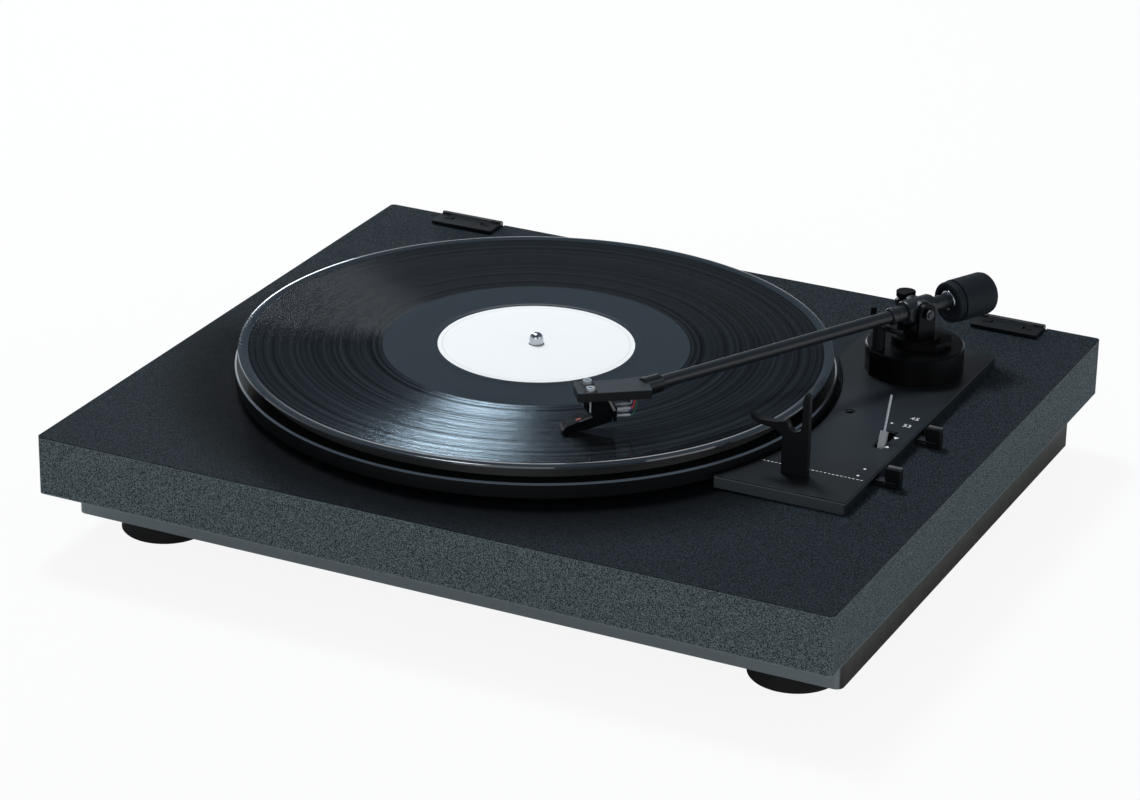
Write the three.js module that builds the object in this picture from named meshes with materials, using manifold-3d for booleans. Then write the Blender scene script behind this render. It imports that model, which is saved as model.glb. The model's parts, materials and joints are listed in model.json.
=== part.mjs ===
// Automatic belt-drive record player, modelled in millimetres with +Z up.
// The origin is on the surface it stands on, under the middle of the plinth.
// +X is to the right of someone facing the front, and +Y is towards the back.
import * as THREE from 'three';
import { mergeVertices } from 'three/addons/utils/BufferGeometryUtils.js';
import Module from 'manifold-3d';

const wasm = await Module();
wasm.setup();

// Driving dimensions: the plinth and what it stands on
const plinthWidth = 421;
const plinthDepth = 365.5;
const plinthHeight = 30.4;
const plinthWall = 3;
const plinthCornerRadius = 2.5;
const trayHeight = 20.2;
const trayWall = 2.5;
const traySideInset = 5.3;
const trayEndInset = 26.35;
const trayCornerRadius = 4;
const footHeight = 11.4;
const footRadius = 22.5;
const footTopRadius = 20.5;
const footStemRadius = 6;
const footStemLength = 4.2;
const footPadRecess = 1.2;
const footPadRadius = 18;
const footEdge = 1;
const footSideInset = 39.5;
const footEndInset = 53.75;
const clearance = 0.3;
const overrun = 1;
const screwPostRadius = 4.5;
const screwPostInset = 14;

// Driving dimensions: the disc side
const spindleX = -27.56;
const spindleY = -2.45;
const spindleRadius = 3.55;
const spindleTopHeight = 24.8;
const spindleTipLength = 3.2;
const spindleShoulderRadius = 8;
const spindleShoulderThickness = 2;
const spindleFootRadius = 5;
const wellDepth = 12;
const wellFloor = 2.5;
const wellRadius = 73;
const platterRadius = 152.4;
const platterSkirtBottom = 3;
const platterFlangeHeight = 10.8;
const platterFlangeEdge = 0.9;
const platterSkirtWall = 3.6;
const platterRimWidth = 8.9;
const platterWindowHalfDegrees = 10;
const webStepShare = 0.8;
const platterPlateauHeight = 14.2;
const platterWeb = 3;
const platterHubRadius = 11;
const beltRingRadius = 66;
const beltRingWall = 2.8;
const beltRingBottom = -3;
const matInset = 0.5;
const matThickness = 2.8;
const discInset = 1.6;
const discRimWidth = 4.6;
const discGrooveInnerRadius = 54;
const discThickness = 1.5;
const discRimRise = 0.4;
const discCentreRise = 0.2;
const discHoleRadius = 3.9;
const labelRadius = 50;
const labelThickness = 0.15;
const beltWidth = 4.2;
const beltThickness = 0.8;
const beltGap = 0.35;
const platterWindowWidth = 26;
const beltBottom = 1.2;

// Driving dimensions: the drive and the automatic mechanism
const motorAngleDegrees = 216;
const motorDistance = 105;
const motorRadius = 17.5;
const motorHeight = 23;
const motorBossRadius = 4.5;
const motorBossHeight = 1.8;
const motorShaftRadius = 1.2;
const pulleyRadius = 5.5;
const pulleyFlangeRadius = 6.8;
const pulleyHoleRadius = 9.5;
const gearModule = 1.4;
const hubGearTeeth = 12;
const camGearTeeth = 60;
const camGearMissingTeeth = 6;
const camGearAngleDegrees = 24;
const gearThickness = 4.4;
const gearPressureDegrees = 20;
const gearPlay = 0.12;
const camHubRadius = 7;
const camStudRadius = 4;
const camTrackRadius = 22;
const camTrackWidth = 4.4;
const camTrackDepth = 1.8;
const camTrackThrow = 5;
const sliderHeight = 2.4;
const sliderThickness = 1.2;
const sliderWidth = 4.4;
const sliderReach = 16.2;
const sliderFenceGap = 0.6;
const slideThickness = 1.6;
const slideWidth = 14;
const slidePinRadius = 1.6;
const camPocketHalfDegrees = 24;
const slideGuideRadius = 2.6;
const slideTail = 18;
const slidePegDistance = 34;
const slidePegNose = 5;
const gearToothThinning = 0.22;
const camPocketCount = 6;
const camPocketDepth = 1.4;

// Driving dimensions: the sector that the slide moves
const sectorHubHeight = 4.4;
const sectorHubRadius = 7;
const sectorThickness = 1.6;
const sectorReach = 20;
const sectorHalfDegrees = 28;

// Driving dimensions: the control plate and the arm's place on it
const controlPlateOverlap = 20.54;
const controlPlateWidth = 69.9;
const controlPlateFront = -81.6;
const controlPlateBack = 121.3;
const controlPlateHeight = 6.5;
const controlPlateSkin = 1.3;
const controlPlateArcGap = 3.3;
const armPivotInset = 31.03;
const armPivotY = 86;
const armAngleDegrees = 242.64;
const armAxisHeight = 38.5;
const armBaseRadius = 25.2;
const armBaseHeight = 20.5;
const armBaseWall = 2.4;
const armBaseEdge = 0.8;
const armBearingRadius = 7;
const armBearingDepth = 9;
const adjustHoleRadius = 2.6;
const adjustHoleInset = 38.9;
const adjustHoleY = 19.3;
const armShaftRadius = 3;
const armShaftBottom = -14.5;

// Driving dimensions: the sliding controls
const knobWidth = 7.6;
const knobDepth = 5;
const knobHeight = 10.5;
const knobGap = 5;
const knobRise = 0.3;
const knobDish = 0.8;
const startKnobFront = -44.5;
const startKnobTravel = 8.5;
const speedKnobFront = 9;
const speedKnobTravel = 9.8;

// Driving dimensions: the cue lever and the lift
const liftDistance = 21.2;
const liftTurnDegrees = -12.3;
const liftBossRadius = 4.7;
const liftBarRadius = 22;
const liftPostRadius = 3.3;
const cueSlotLeftInset = 13.4;
const cueSlotRightInset = 7.8;
const cueSlotFront = -15.6;
const cueSlotBack = 6.6;
const cueLeverInset = 10;
const cueLeverWidth = 3.4;
const cueLeverDepth = 2.8;
const cuePivotY = -19.7;
const cuePivotHeight = -14.5;
const cuePivotRadius = 3.4;
const cuePinRadius = 1.5;
const liftBarTubeGap = 0.9;
const cueLeanDegrees = 24;
const cueBlockTop = 12.3;
const cueRodTop = 29;
const cueRodRadius = 0.6;
const cueBracketThickness = 2.5;
const cueRodSeat = 5;
const liftBarThickness = 1.4;
const liftPostBottom = -9;
const liftBarWidth = 3;
const liftBarInner = -36;
const liftBarOuter = 30;
const liftBarTipRise = 5.4;

// Driving dimensions: the arm rest
const restPostInset = 40.4;
const restPostWidth = 13.7;
const restFront = -65;
const restThickness = 3.6;
const restSlotOffset = 6.5;
const restSlotWidth = 7;
const restSlotBottom = 29.4;
const restForkTop = 50;
const restLedgeHeight = 33.3;
const restHornTop = 35.5;
const restHornReach = 16.8;
const restHornThickness = 3.1;
const restTabInset = 1.2;

// Driving dimensions: the tonearm
const frontTubeRadius = 3.2;
const rearTubeRadius = 4;
const rearTubeFront = 18.5;
const rearTubeBack = -40;
const tubeSocketDepth = 8;
const tubeEndGap = 0.7;
const hubBlockRadius = 6.2;
const hubBlockHalf = 5.4;
const yokeGap = 0.4;
const yokeThickness = 2.4;
const yokeHalfLength = 5.4;
const yokeBaseHeight = 4.7;
const yokeBlockTop = 29.5;
const yokeFarTop = 45.5;
const yokeCapRadius = 5;
const yokeCapThickness = 2.4;
const yokePostRadius = 3.4;
const yokePostOffset = 3;
// Plan of the lug beside the yoke's base, as [x, y] sizes in the arm's frame
const yokeBaseRadius = 12.6;
const yokeLugStep = 0.8;
const hubSleeveHalf = 9;
const hubSleeveBarrelHalf = 7.6;
const hubSleeveRadius = 6.4;
const hubSleeveEndRadius = 5.8;
const hubKeepHalf = 12;
const yokeLugSizes = [[-11.5, 2], [-14.5, 11], [-9, 17], [2, 17.5], [8, 9], [0, 0]];
const pivotScrewRadius = 1.6;
const pivotNutRadius = 2.9;
const pivotNutThickness = 1.8;
const pivotScrewBite = 0.9;
const weightFront = -20.7;
const weightBack = -47.4;
const weightRadius = 11;
const weightDrop = 1.2;
const weightRingLength = 6;
const weightGrooveLength = 2.4;
const weightGrooveDepth = 1.5;
const weightFaceRecess = 1.6;

// Driving dimensions: the headshell and the cartridge
const headshellBackX = 174.2;
const headshellBackY = 3.9;
const headshellAngleDegrees = -27;
const shellLength = 36;
const shellHalfWidth = 7.4;
const shellSkin = 1.6;
const shellSkirt = 3;
const shellSkirtWall = 1.3;
const shellFlare = 2.6;
const mountScrewU = 29.5;
const mountScrewV = 4.6;
const mountScrewRadius = 1.2;
const mountScrewBottom = 30;
const mountHoleBottom = 28;
const shellTopHeight = 41.4;
const shellCorner = 0.6;
const shellSocketLength = 9.5;
const shellSocketWall = 1.1;
const cartridgeFlange = 1.8;
const cartridgeHalfWidth = 5.6;
const cartridgeFrontU = 32.9;
const cartridgeBackU = 19;
const cartridgeRearU = 16.6;
const cartridgeFlangeStep = 1.3;
const cartridgePinRadius = 0.55;
const cartridgePinLength = 5;
const cartridgePinBite = 0.5;
const cartridgePinHeights = [27, 30.6];
const cartridgePinV = 2.6;
const stylusHalfWidth = 4.6;
const stylusTipU = 36.4;
const stylusTipHeight = 19.2;
const stylusSlotFront = 38.4;
const stylusSlotBack = 27;
const stylusSlotHalfWidth = 1.5;
const stylusSlotRoof = 22.2;
const cantileverRootU = 26.6;
const cantileverRootHeight = 22.9;
const wireRadius = 0.42;
const wireLeanLow = 4.6;
const wireLeanHigh = 3.2;
// Side views as [u, height above the plinth's top] sizes
const cartridgeNoseSizes = [[32.9, 33.6], [30.6, 30.2], [28.4, 27.9], [18.3, 31]];
const cartridgeRearSizes = [[18.3, 25.3], [16.6, 25.3], [16.6, 31.4]];
const stylusSideSizes = [[18.6, 30.6], [36.9, 24.9], [41.2, 22.9], [42.7, 21.1], [41.5, 20.2],
    [38, 19.9], [30, 21.4], [18.6, 25]];

// Driving dimensions: the electrics and their openings
const ventCount = 7;
const ventPitch = 7;
const ventWidth = 3;
const ventLength = 34;
const boardSideGap = 14.5;
const boardWidth = 100;
const boardPillarHeight = 3;
const boardDepth = 34;
const boardThickness = 1.6;
const boardPillarRadius = 3;
const boardPillarInset = 6;
const boardWallGap = 1.2;
const socketRadius = 4.6;
const powerRadius = 5;
const powerPlaceInset = 18;
const signalPlaceInsets = [46, 62];
const lineSwitchInset = 16;
const lineSwitchSlot = 9;
const lineSwitchKnob = 2;
const lineSwitchTravel = 4;
const boardCanShares = [0.3, 0.45];
const socketBody = 9;
const socketBore = 8;
const signalBore = 1.7;
const signalReach = 6.5;
const powerBore = 2.9;
const powerPinRadius = 0.9;

// Driving dimensions: the lid hinges
const hingeTongueWidth = 37;
const hingeSideInset = 34.3;
const hingeSeatDepth = 6.15;
const hingeAxisInset = 3.15;
const hingeAxisRise = 1.5;
const hingeBarrelRadius = 1.8;
const hingePinRadius = 0.9;
const hingeEarWidth = 5;
const hingeTongueInset = 17.75;
const hingeTongueThickness = 1.6;
const hingeRightShift = 4.7;
const hingeCatchShare = 0.24;
const hingeCatchLength = 5;
const hingeCatchWidth = 1.1;

// Places and sizes worked out from the driving dimensions
const degrees = Math.PI / 180;
const footX = plinthWidth / 2 - footSideInset;
const footY = plinthDepth / 2 - footEndInset;
const platterPlateauRadius = platterRadius - platterRimWidth;
const matRadius = platterPlateauRadius - matInset;
const discRadius = platterRadius - discInset;
const controlPlateLeft = spindleX + platterRadius - controlPlateOverlap;
const controlPlateRight = controlPlateLeft + controlPlateWidth;
const sliderRootX = controlPlateRight - sliderReach;
const armPivotX = controlPlateRight - armPivotInset;
const adjustHoleX = controlPlateRight - adjustHoleInset;
const knobLeft = controlPlateRight + knobGap;
const cueSlotLeft = controlPlateRight - cueSlotLeftInset;
const cueSlotRight = controlPlateRight - cueSlotRightInset;
const cueLeverX = controlPlateRight - cueLeverInset;
const restPostLeft = controlPlateRight - restPostInset;
const restPostRight = restPostLeft + restPostWidth;
const restSlotCentre = restPostLeft + restSlotOffset;
const restHornLeft = restPostLeft - restHornReach;
const tubeEnd = headshellBackX - tubeEndGap;
const boardLeft = boardSideGap - plinthWidth / 2;
const boardRight = boardLeft + boardWidth;
const lineSwitchX = boardRight - lineSwitchInset;
const hingeTongueOuterX = plinthWidth / 2 - hingeSideInset;
const hingeSeatFront = plinthDepth / 2 - hingeSeatDepth;
const hingeAxisY = plinthDepth / 2 - hingeAxisInset;
const hingeTongueFront = plinthDepth / 2 - hingeTongueInset;
const topHeight = footHeight + trayHeight + plinthHeight;
const trayFloorHeight = footHeight + trayWall;
const plinthBottom = footHeight + trayHeight;
const motorX = spindleX + motorDistance * Math.cos(motorAngleDegrees * degrees);
const motorY = spindleY + motorDistance * Math.sin(motorAngleDegrees * degrees);
const gearDistance = gearModule * (hubGearTeeth + camGearTeeth) / 2 + gearPlay;
const camX = spindleX + gearDistance * Math.cos(camGearAngleDegrees * degrees);
const camY = spindleY + gearDistance * Math.sin(camGearAngleDegrees * degrees);
const camTipRadius = gearModule * (camGearTeeth / 2 + 1);
const camWellRadius = camTipRadius + 3 * overrun;
const wellFloorTop = topHeight - wellDepth;
const wellFloorBottom = wellFloorTop - wellFloor;
const topUnderside = topHeight - plinthWall;
const gearBottom = wellFloorTop + spindleShoulderThickness + clearance;
const gearTop = gearBottom + gearThickness;
const hubGearCollarTop = topHeight + beltRingBottom;
const matTop = platterPlateauHeight + matThickness;
const discTop = matTop + discThickness;
const liftAngle = (armAngleDegrees + liftTurnDegrees) * degrees;
const liftX = armPivotX + liftDistance * Math.cos(liftAngle);
const liftY = armPivotY + liftDistance * Math.sin(liftAngle);
const armBearingOuter = armBearingRadius + clearance;
const slideTop = wellFloorBottom - clearance;
const slideBottom = slideTop - slideThickness;
const slideTravel = camTrackThrow * 2;
const slideAngle = Math.atan2(armPivotY - camY, armPivotX - camX);
const slideLength = Math.hypot(armPivotX - camX, armPivotY - camY);
const slidePinLocal = camTrackRadius - camTrackThrow;
const slideGuidePlaces = [camTrackRadius * 0.4, slideLength * 0.72];
const hingeSeatBottom = topHeight - 9;
const boardBottom = trayFloorHeight + boardPillarHeight;
const socketHeight = boardBottom + boardThickness + powerRadius + clearance * 2;
const socketPlaces = signalPlaceInsets.map((inset) => ({ x: boardLeft + inset,
    radius: socketRadius + clearance }));
const powerPlace = { x: boardLeft + powerPlaceInset, radius: powerRadius + clearance };
const trayBack = plinthDepth / 2 - trayEndInset;
const boardBack = trayBack - trayWall - boardWallGap;
const platterWindowHalf = platterWindowHalfDegrees * degrees;
const camPocketHalf = camPocketHalfDegrees * degrees;
const liftBarTop = armAxisHeight - frontTubeRadius - liftBarTubeGap;
const axisZ = topHeight + armAxisHeight;
const yokeBaseBottom = armBaseHeight + clearance;
const sectorHubTop = topHeight - armBearingDepth - clearance;
const shellTop = topHeight + shellTopHeight;
const cartridgeTop = shellTop - shellSkin - clearance;
const cartridgePinBack = cartridgeRearU + cartridgePinBite - cartridgePinLength;

const part = new THREE.Group();

// Finishes, read from the photograph
const finish = (color, roughness, metalness = 0) => new THREE.MeshStandardMaterial({ color, roughness,
    metalness });
const texturedBlack = finish(0x24292d, 0.75);
const trayBlack = finish(0x2a2826, 0.6);
const satinBlack = finish(0x1b1e21, 0.35);
const mouldedBlack = finish(0x17181a, 0.5);
const tubeBlack = finish(0x1a1b1d, 0.3);
const rubberBlack = finish(0x141414, 0.85);
const castAluminium = finish(0x9a9c9e, 0.4, 0.9);
const brightSteel = finish(0xb8bbbf, 0.25, 1);
const zincSteel = finish(0x9ea1a0, 0.45, 0.9);
const brass = finish(0xb5925a, 0.35, 1);
const discBlack = finish(0x0d0d0e, 0.25);
const labelPaper = finish(0xf2f2ef, 0.8);
const naturalNylon = finish(0xd9d6ca, 0.6);
const leverGrey = finish(0xa9adb0, 0.45);
const boardGreen = finish(0x1f4a2c, 0.6);
const socketRed = finish(0xb02020, 0.5);
const socketWhite = finish(0xe8e8e8, 0.5);
const wireWhite = finish(0xe6e6e6, 0.5);
const wireBlue = finish(0x2a4f9c, 0.5);
const wireGreen = finish(0x2f8f4a, 0.5);
const wireRed = finish(0xc02424, 0.5);

// A closed three.js geometry as a solid that can be cut and joined
function solid(geometry) {
  const bare = geometry.clone();
  bare.deleteAttribute('normal');
  bare.deleteAttribute('uv');
  const merged = mergeVertices(bare, 1e-4);
  const vertProperties = new Float32Array(merged.attributes.position.array);
  const triVerts = new Uint32Array(merged.index.array);
  return new wasm.Manifold(new wasm.Mesh({ numProp: 3, vertProperties, triVerts }));
}

// A solid as a three.js geometry again
function geometryOf(shape) {
  const mesh = shape.getMesh();
  const geometry = new THREE.BufferGeometry();
  geometry.setAttribute('position', new THREE.BufferAttribute(new Float32Array(mesh.vertProperties), 3));
  geometry.setIndex(new THREE.BufferAttribute(new Uint32Array(mesh.triVerts), 1));
  geometry.computeVertexNormals();
  return geometry;
}

function join(first, ...others) {
  let result = solid(first);
  for (const other of others) {
    result = result.add(solid(other));
  }
  return geometryOf(result);
}

function cut(base, ...tools) {
  let result = solid(base);
  for (const tool of tools) {
    result = result.subtract(solid(tool));
  }
  return geometryOf(result);
}

// A box between two corners
function block(x0, x1, y0, y1, z0, z1) {
  const box = new THREE.BoxGeometry(x1 - x0, y1 - y0, z1 - z0);
  return box.translate((x0 + x1) / 2, (y0 + y1) / 2, (z0 + z1) / 2);
}

// An upright cylinder or cone between two heights
function post(x, y, z0, z1, radius, segments = 32, topRadius = radius) {
  const cylinder = new THREE.CylinderGeometry(topRadius, radius, z1 - z0, segments);
  return cylinder.rotateX(Math.PI / 2).translate(x, y, (z0 + z1) / 2);
}

// An outline drawn in X and Y, raised from z0 to z1
function slab(shape, z0, z1, curveSegments = 12) {
  const depth = z1 - z0;
  return new THREE.ExtrudeGeometry(shape, { depth, bevelEnabled: false, curveSegments }).translate(0, 0,
      z0);
}

// A turned form whose faces point out, whichever way round its profile is given
function lathed(profile, segments) {
  const points = profile.map(([radius, height]) => new THREE.Vector2(radius, height));
  if (THREE.ShapeUtils.area(points) < 0) {
    points.reverse();
  }
  return new THREE.LatheGeometry(points, segments);
}

// A profile of [radius, height] points turned about an upright axis at x, y
function turned(profile, segments, x = 0, y = 0) {
  return lathed(profile, segments).rotateX(Math.PI / 2).translate(x, y, 0);
}

// A closed ring profile: the last point meets the first
function turnedRing(profile, segments, x = 0, y = 0) {
  return turned([...profile, profile[0]], segments, x, y);
}

function roundedRectangle(x0, x1, y0, y1, radius) {
  const shape = new THREE.Shape();
  shape.moveTo(x0 + radius, y0);
  shape.lineTo(x1 - radius, y0);
  shape.absarc(x1 - radius, y0 + radius, radius, -Math.PI / 2, 0);
  shape.lineTo(x1, y1 - radius);
  shape.absarc(x1 - radius, y1 - radius, radius, 0, Math.PI / 2);
  shape.lineTo(x0 + radius, y1);
  shape.absarc(x0 + radius, y1 - radius, radius, Math.PI / 2, Math.PI);
  shape.lineTo(x0, y0 + radius);
  shape.absarc(x0 + radius, y0 + radius, radius, Math.PI, Math.PI * 1.5);
  return shape;
}

function outline(points) {
  return new THREE.Shape(points.map(([x, y]) => new THREE.Vector2(x, y)));
}

function add(name, geometry, material, parent = part) {
  const mesh = new THREE.Mesh(geometry, material);
  mesh.name = name;
  parent.add(mesh);
  return mesh;
}

// Plinth: a textured shell, open below, with the well for the drive in its top
function plinth() {
  const halfWidth = plinthWidth / 2;
  const halfDepth = plinthDepth / 2;
  const outside = roundedRectangle(-halfWidth, halfWidth, -halfDepth, halfDepth, plinthCornerRadius);
  const inX = halfWidth - plinthWall;
  const inY = halfDepth - plinthWall;
  const inner = block(-inX, inX, -inY, inY, plinthBottom - overrun, topUnderside);
  let shell = solid(slab(outside, plinthBottom, topHeight, 4)).subtract(solid(inner));
  const wellParts = [[spindleX, spindleY, wellRadius, 48], [camX, camY, camWellRadius, 32]];
  for (const [x, y, radius, segments] of wellParts) {
    shell = shell.add(solid(post(x, y, wellFloorBottom, topUnderside + plinthWall / 2,
        radius + wellFloor, segments)));
  }
  for (const [x, y, radius, segments] of wellParts) {
    shell = shell.subtract(solid(post(x, y, wellFloorTop, topHeight + overrun, radius, segments)));
  }
  // The cam gear's stud stands on the well floor
  shell = shell.add(solid(post(camX, camY, wellFloorTop - wellFloor / 2, gearTop + clearance,
      camStudRadius, 18)));
  // Through holes: spindle foot, pulley, arm bearing, lift post, cue lever and the two sliders
  const below = wellFloorBottom - overrun;
  const above = topHeight + overrun;
  shell = shell.subtract(solid(post(spindleX, spindleY, below, above, spindleFootRadius + clearance,
      18)));
  shell = shell.subtract(solid(post(motorX, motorY, below, above, pulleyHoleRadius, 22)));
  shell = shell.subtract(solid(post(armPivotX, armPivotY, below, above, armBearingOuter + clearance,
      22)));
  shell = shell.subtract(solid(post(liftX, liftY, below, above, liftPostRadius + clearance * 2, 18)));
  const cueFront = cuePivotY - cueLeverDepth;
  const cueHalf = cueLeverWidth / 2 + clearance * 2;
  shell = shell.subtract(solid(block(cueLeverX - cueHalf, cueLeverX + cueHalf, cueFront, cueSlotBack,
      below, above)));
  // Screw posts that reach down to the bottom cover
  for (const [x, y] of screwPosts()) {
    shell = shell.add(solid(post(x, y, plinthBottom + trayWall, topUnderside + plinthWall / 2,
        screwPostRadius, 10)));
  }
  // Hinge seats: a shallow step in the back edge for each lid hinge
  for (const side of [-1, 1]) {
    const seat = hingeSeat(side);
    const seatTop = topHeight + overrun;
    shell = shell.subtract(solid(block(seat.left, seat.right, hingeSeatFront, halfDepth + overrun,
        hingeSeatBottom, seatTop)));
  }
  // The slide's pin reaches the cam track through a slot in the well floor
  const slotShape = slideSlot(slidePinLocal + slideTravel / 2, slideTravel / 2,
      slidePinRadius + clearance * 2);
  shell = shell.subtract(solid(slab(slotShape, wellFloorBottom - overrun, wellFloorTop + overrun, 6)));
  for (const along of slideGuidePlaces) {
    const guide = slidePoint(along, 0);
    const guideTop = along < camWellRadius ? wellFloorTop - wellFloor / 2 : topUnderside + plinthWall / 2;
    shell = shell.add(solid(post(guide.x, guide.y, slideBottom - clearance, guideTop, slideGuideRadius,
        10)));
  }
  return geometryOf(shell);
}

function screwPosts() {
  const x = plinthWidth / 2 - screwPostInset;
  const y = plinthDepth / 2 - screwPostInset;
  return [[-x, -y], [0, -y], [x, -y], [-x, y], [0, y], [x, y]];
}

// A place on the slide, which lies under the well floor between the cam gear and the arm
function slidePoint(along, across) {
  const x = camX + along * Math.cos(slideAngle) - across * Math.sin(slideAngle);
  const y = camY + along * Math.sin(slideAngle) + across * Math.cos(slideAngle);
  return { x, y };
}

// A slot with round ends along the slide's own direction
function slideSlot(along, half, radius) {
  const shape = new THREE.Shape();
  const right = slidePoint(along + half, 0);
  const left = slidePoint(along - half, 0);
  shape.absarc(right.x, right.y, radius, slideAngle - Math.PI / 2, slideAngle + Math.PI / 2);
  shape.absarc(left.x, left.y, radius, slideAngle + Math.PI / 2, slideAngle + Math.PI * 1.5);
  return shape;
}

// The step in the back edge that takes one lid hinge
function hingeSeat(side) {
  const middle = side * (hingeTongueOuterX - hingeTongueWidth / 2);
  const shift = side > 0 ? hingeRightShift : 0;
  const half = hingeTongueWidth / 2;
  return { left: middle + shift - half, right: middle + shift + half, middle: middle + shift };
}

// Bottom cover: a flange inside the plinth with the recessed tray below it
function bottomTray() {
  const flangeX = plinthWidth / 2 - plinthWall - clearance;
  const flangeY = plinthDepth / 2 - plinthWall - clearance;
  const trayX = plinthWidth / 2 - traySideInset;
  const trayY = plinthDepth / 2 - trayEndInset;
  const flange = roundedRectangle(-flangeX, flangeX, -flangeY, flangeY, plinthCornerRadius);
  const tray = roundedRectangle(-trayX, trayX, -trayY, trayY, trayCornerRadius);
  const inX = trayX - trayWall;
  const inY = trayY - trayWall;
  const hollow = roundedRectangle(-inX, inX, -inY, inY, trayCornerRadius - trayWall / 2);
  let cover = solid(slab(flange, plinthBottom, plinthBottom + trayWall, 4));
  cover = cover.add(solid(slab(tray, footHeight, plinthBottom + trayWall / 2, 4)));
  cover = cover.subtract(solid(slab(hollow, trayFloorHeight, plinthBottom + trayWall + overrun, 4)));
  const floorBottom = footHeight - overrun;
  const floorTop = trayFloorHeight + overrun;
  for (const x of [-footX, footX]) {
    for (const y of [-footY, footY]) {
      cover = cover.subtract(solid(post(x, y, floorBottom, floorTop, footStemRadius + clearance, 18)));
    }
  }
  // Vents in the floor under the motor and the board
  for (let index = 0; index < ventCount; index += 1) {
    const x = motorX + (index - (ventCount - 1) / 2) * ventPitch;
    cover = cover.subtract(solid(block(x - ventWidth / 2, x + ventWidth / 2, motorY - ventLength / 2,
      motorY + ventLength / 2, floorBottom, floorTop)));
  }
  // Pillars for the circuit board
  for (const [x, y] of boardPillars()) {
    cover = cover.add(solid(post(x, y, trayFloorHeight - trayWall / 2, boardBottom, boardPillarRadius,
        10)));
  }
  // Openings for the sockets in the back wall
  for (const { x, radius } of [...socketPlaces, powerPlace]) {
    const tool = new THREE.CylinderGeometry(radius, radius, trayWall * 4, 18);
    cover = cover.subtract(solid(tool.translate(x, trayY - trayWall / 2, socketHeight)));
  }
  const half = lineSwitchSlot / 2;
  cover = cover.subtract(solid(block(lineSwitchX - half, lineSwitchX + half, trayY - trayWall - overrun,
      trayY + overrun,
    socketHeight - lineSwitchKnob, socketHeight + lineSwitchKnob)));
  return geometryOf(cover);
}

function boardPillars() {
  const x0 = boardLeft + boardPillarInset;
  const x1 = boardRight - boardPillarInset;
  const y0 = boardBack - boardDepth + boardPillarInset;
  return [[x0, y0], [x1, y0], [x0, boardBack - boardPillarInset], [x1, boardBack - boardPillarInset]];
}

// Foot: soft cone with a hollow pad face and a stem pressed into the tray
function foot(x, y) {
  const profile = [
    [0, footPadRecess], [footPadRadius, footPadRecess], [footPadRadius, 0], [footRadius - footEdge, 0],
    [footRadius, footEdge], [footTopRadius, footHeight], [footStemRadius, footHeight],
    [footStemRadius, footHeight + footStemLength], [0, footHeight + footStemLength],
  ];
  return turned(profile, 28, x, y);
}

// Control plate: folded sheet with its left edge following the platter
function controlPlateShape(inset) {
  const left = controlPlateLeft + inset;
  const right = controlPlateRight - inset;
  const front = controlPlateFront + inset;
  const back = controlPlateBack - inset;
  const radius = platterRadius + controlPlateArcGap + inset;
  const frontY = Math.sqrt(radius ** 2 - (left - spindleX) ** 2);
  const start = Math.asin(Math.max(-frontY, front - spindleY) / radius);
  const end = Math.asin(frontY / radius);
  const shape = new THREE.Shape();
  shape.moveTo(left, back);
  shape.lineTo(left, spindleY + frontY);
  shape.absarc(spindleX, spindleY, radius, end, start, true);
  shape.lineTo(spindleX + radius * Math.cos(start), front);
  shape.lineTo(right, front);
  shape.lineTo(right, back);
  return shape;
}

function controlPlate() {
  const top = topHeight + controlPlateHeight;
  let plate = solid(slab(controlPlateShape(0), topHeight, top, 24));
  plate = plate.subtract(solid(slab(controlPlateShape(controlPlateSkin), topHeight - overrun,
      top - controlPlateSkin, 24)));
  const low = topHeight - overrun;
  const high = top + overrun;
  const edge = overrun * 2;
  plate = plate.subtract(solid(post(adjustHoleX, adjustHoleY, low, high, adjustHoleRadius, 14)));
  plate = plate.subtract(solid(post(armPivotX, armPivotY, low, high, armBearingOuter + clearance, 22)));
  plate = plate.subtract(solid(post(liftX, liftY, low, high, liftPostRadius + clearance * 2, 14)));
  plate = plate.subtract(solid(block(cueSlotLeft, cueSlotRight, cueSlotFront, cueSlotBack, low, high)));
  const tabGap = restTabInset - clearance;
  plate = plate.subtract(solid(block(restPostLeft + tabGap, restPostRight - tabGap,
      restFront + restTabInset / 2 - clearance,
    restFront + restThickness - restTabInset / 2 + clearance, low, high)));
  // Gates in the right wall for the two slider strips
  for (const [from, travel] of sliderGates()) {
    const gateTop = topHeight + sliderHeight + sliderThickness + sliderFenceGap;
    plate = plate.subtract(solid(block(controlPlateRight - controlPlateSkin - edge,
        controlPlateRight + edge,
      Math.min(from, from + travel) - sliderFenceGap,
      Math.max(from, from + travel) + sliderWidth + sliderFenceGap,
      low, gateTop)));
  }
  return geometryOf(plate);
}

function sliderGates() {
  const inset = (knobDepth - sliderWidth) / 2;
  return [[startKnobFront + inset, -startKnobTravel], [speedKnobFront + inset, speedKnobTravel]];
}

// Slider strip: a flat steel tongue under the plate that carries its knob
function sliderStrip(front) {
  const y0 = front + (knobDepth - sliderWidth) / 2;
  const z0 = topHeight + sliderHeight;
  const strip = block(sliderRootX, knobLeft + knobWidth - 2, y0, y0 + sliderWidth, z0,
      z0 + sliderThickness);
  const foot = block(sliderRootX, sliderRootX + sliderWidth, y0, y0 + sliderWidth, topHeight + clearance,
      z0 + sliderThickness / 2);
  return join(strip, foot);
}

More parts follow.
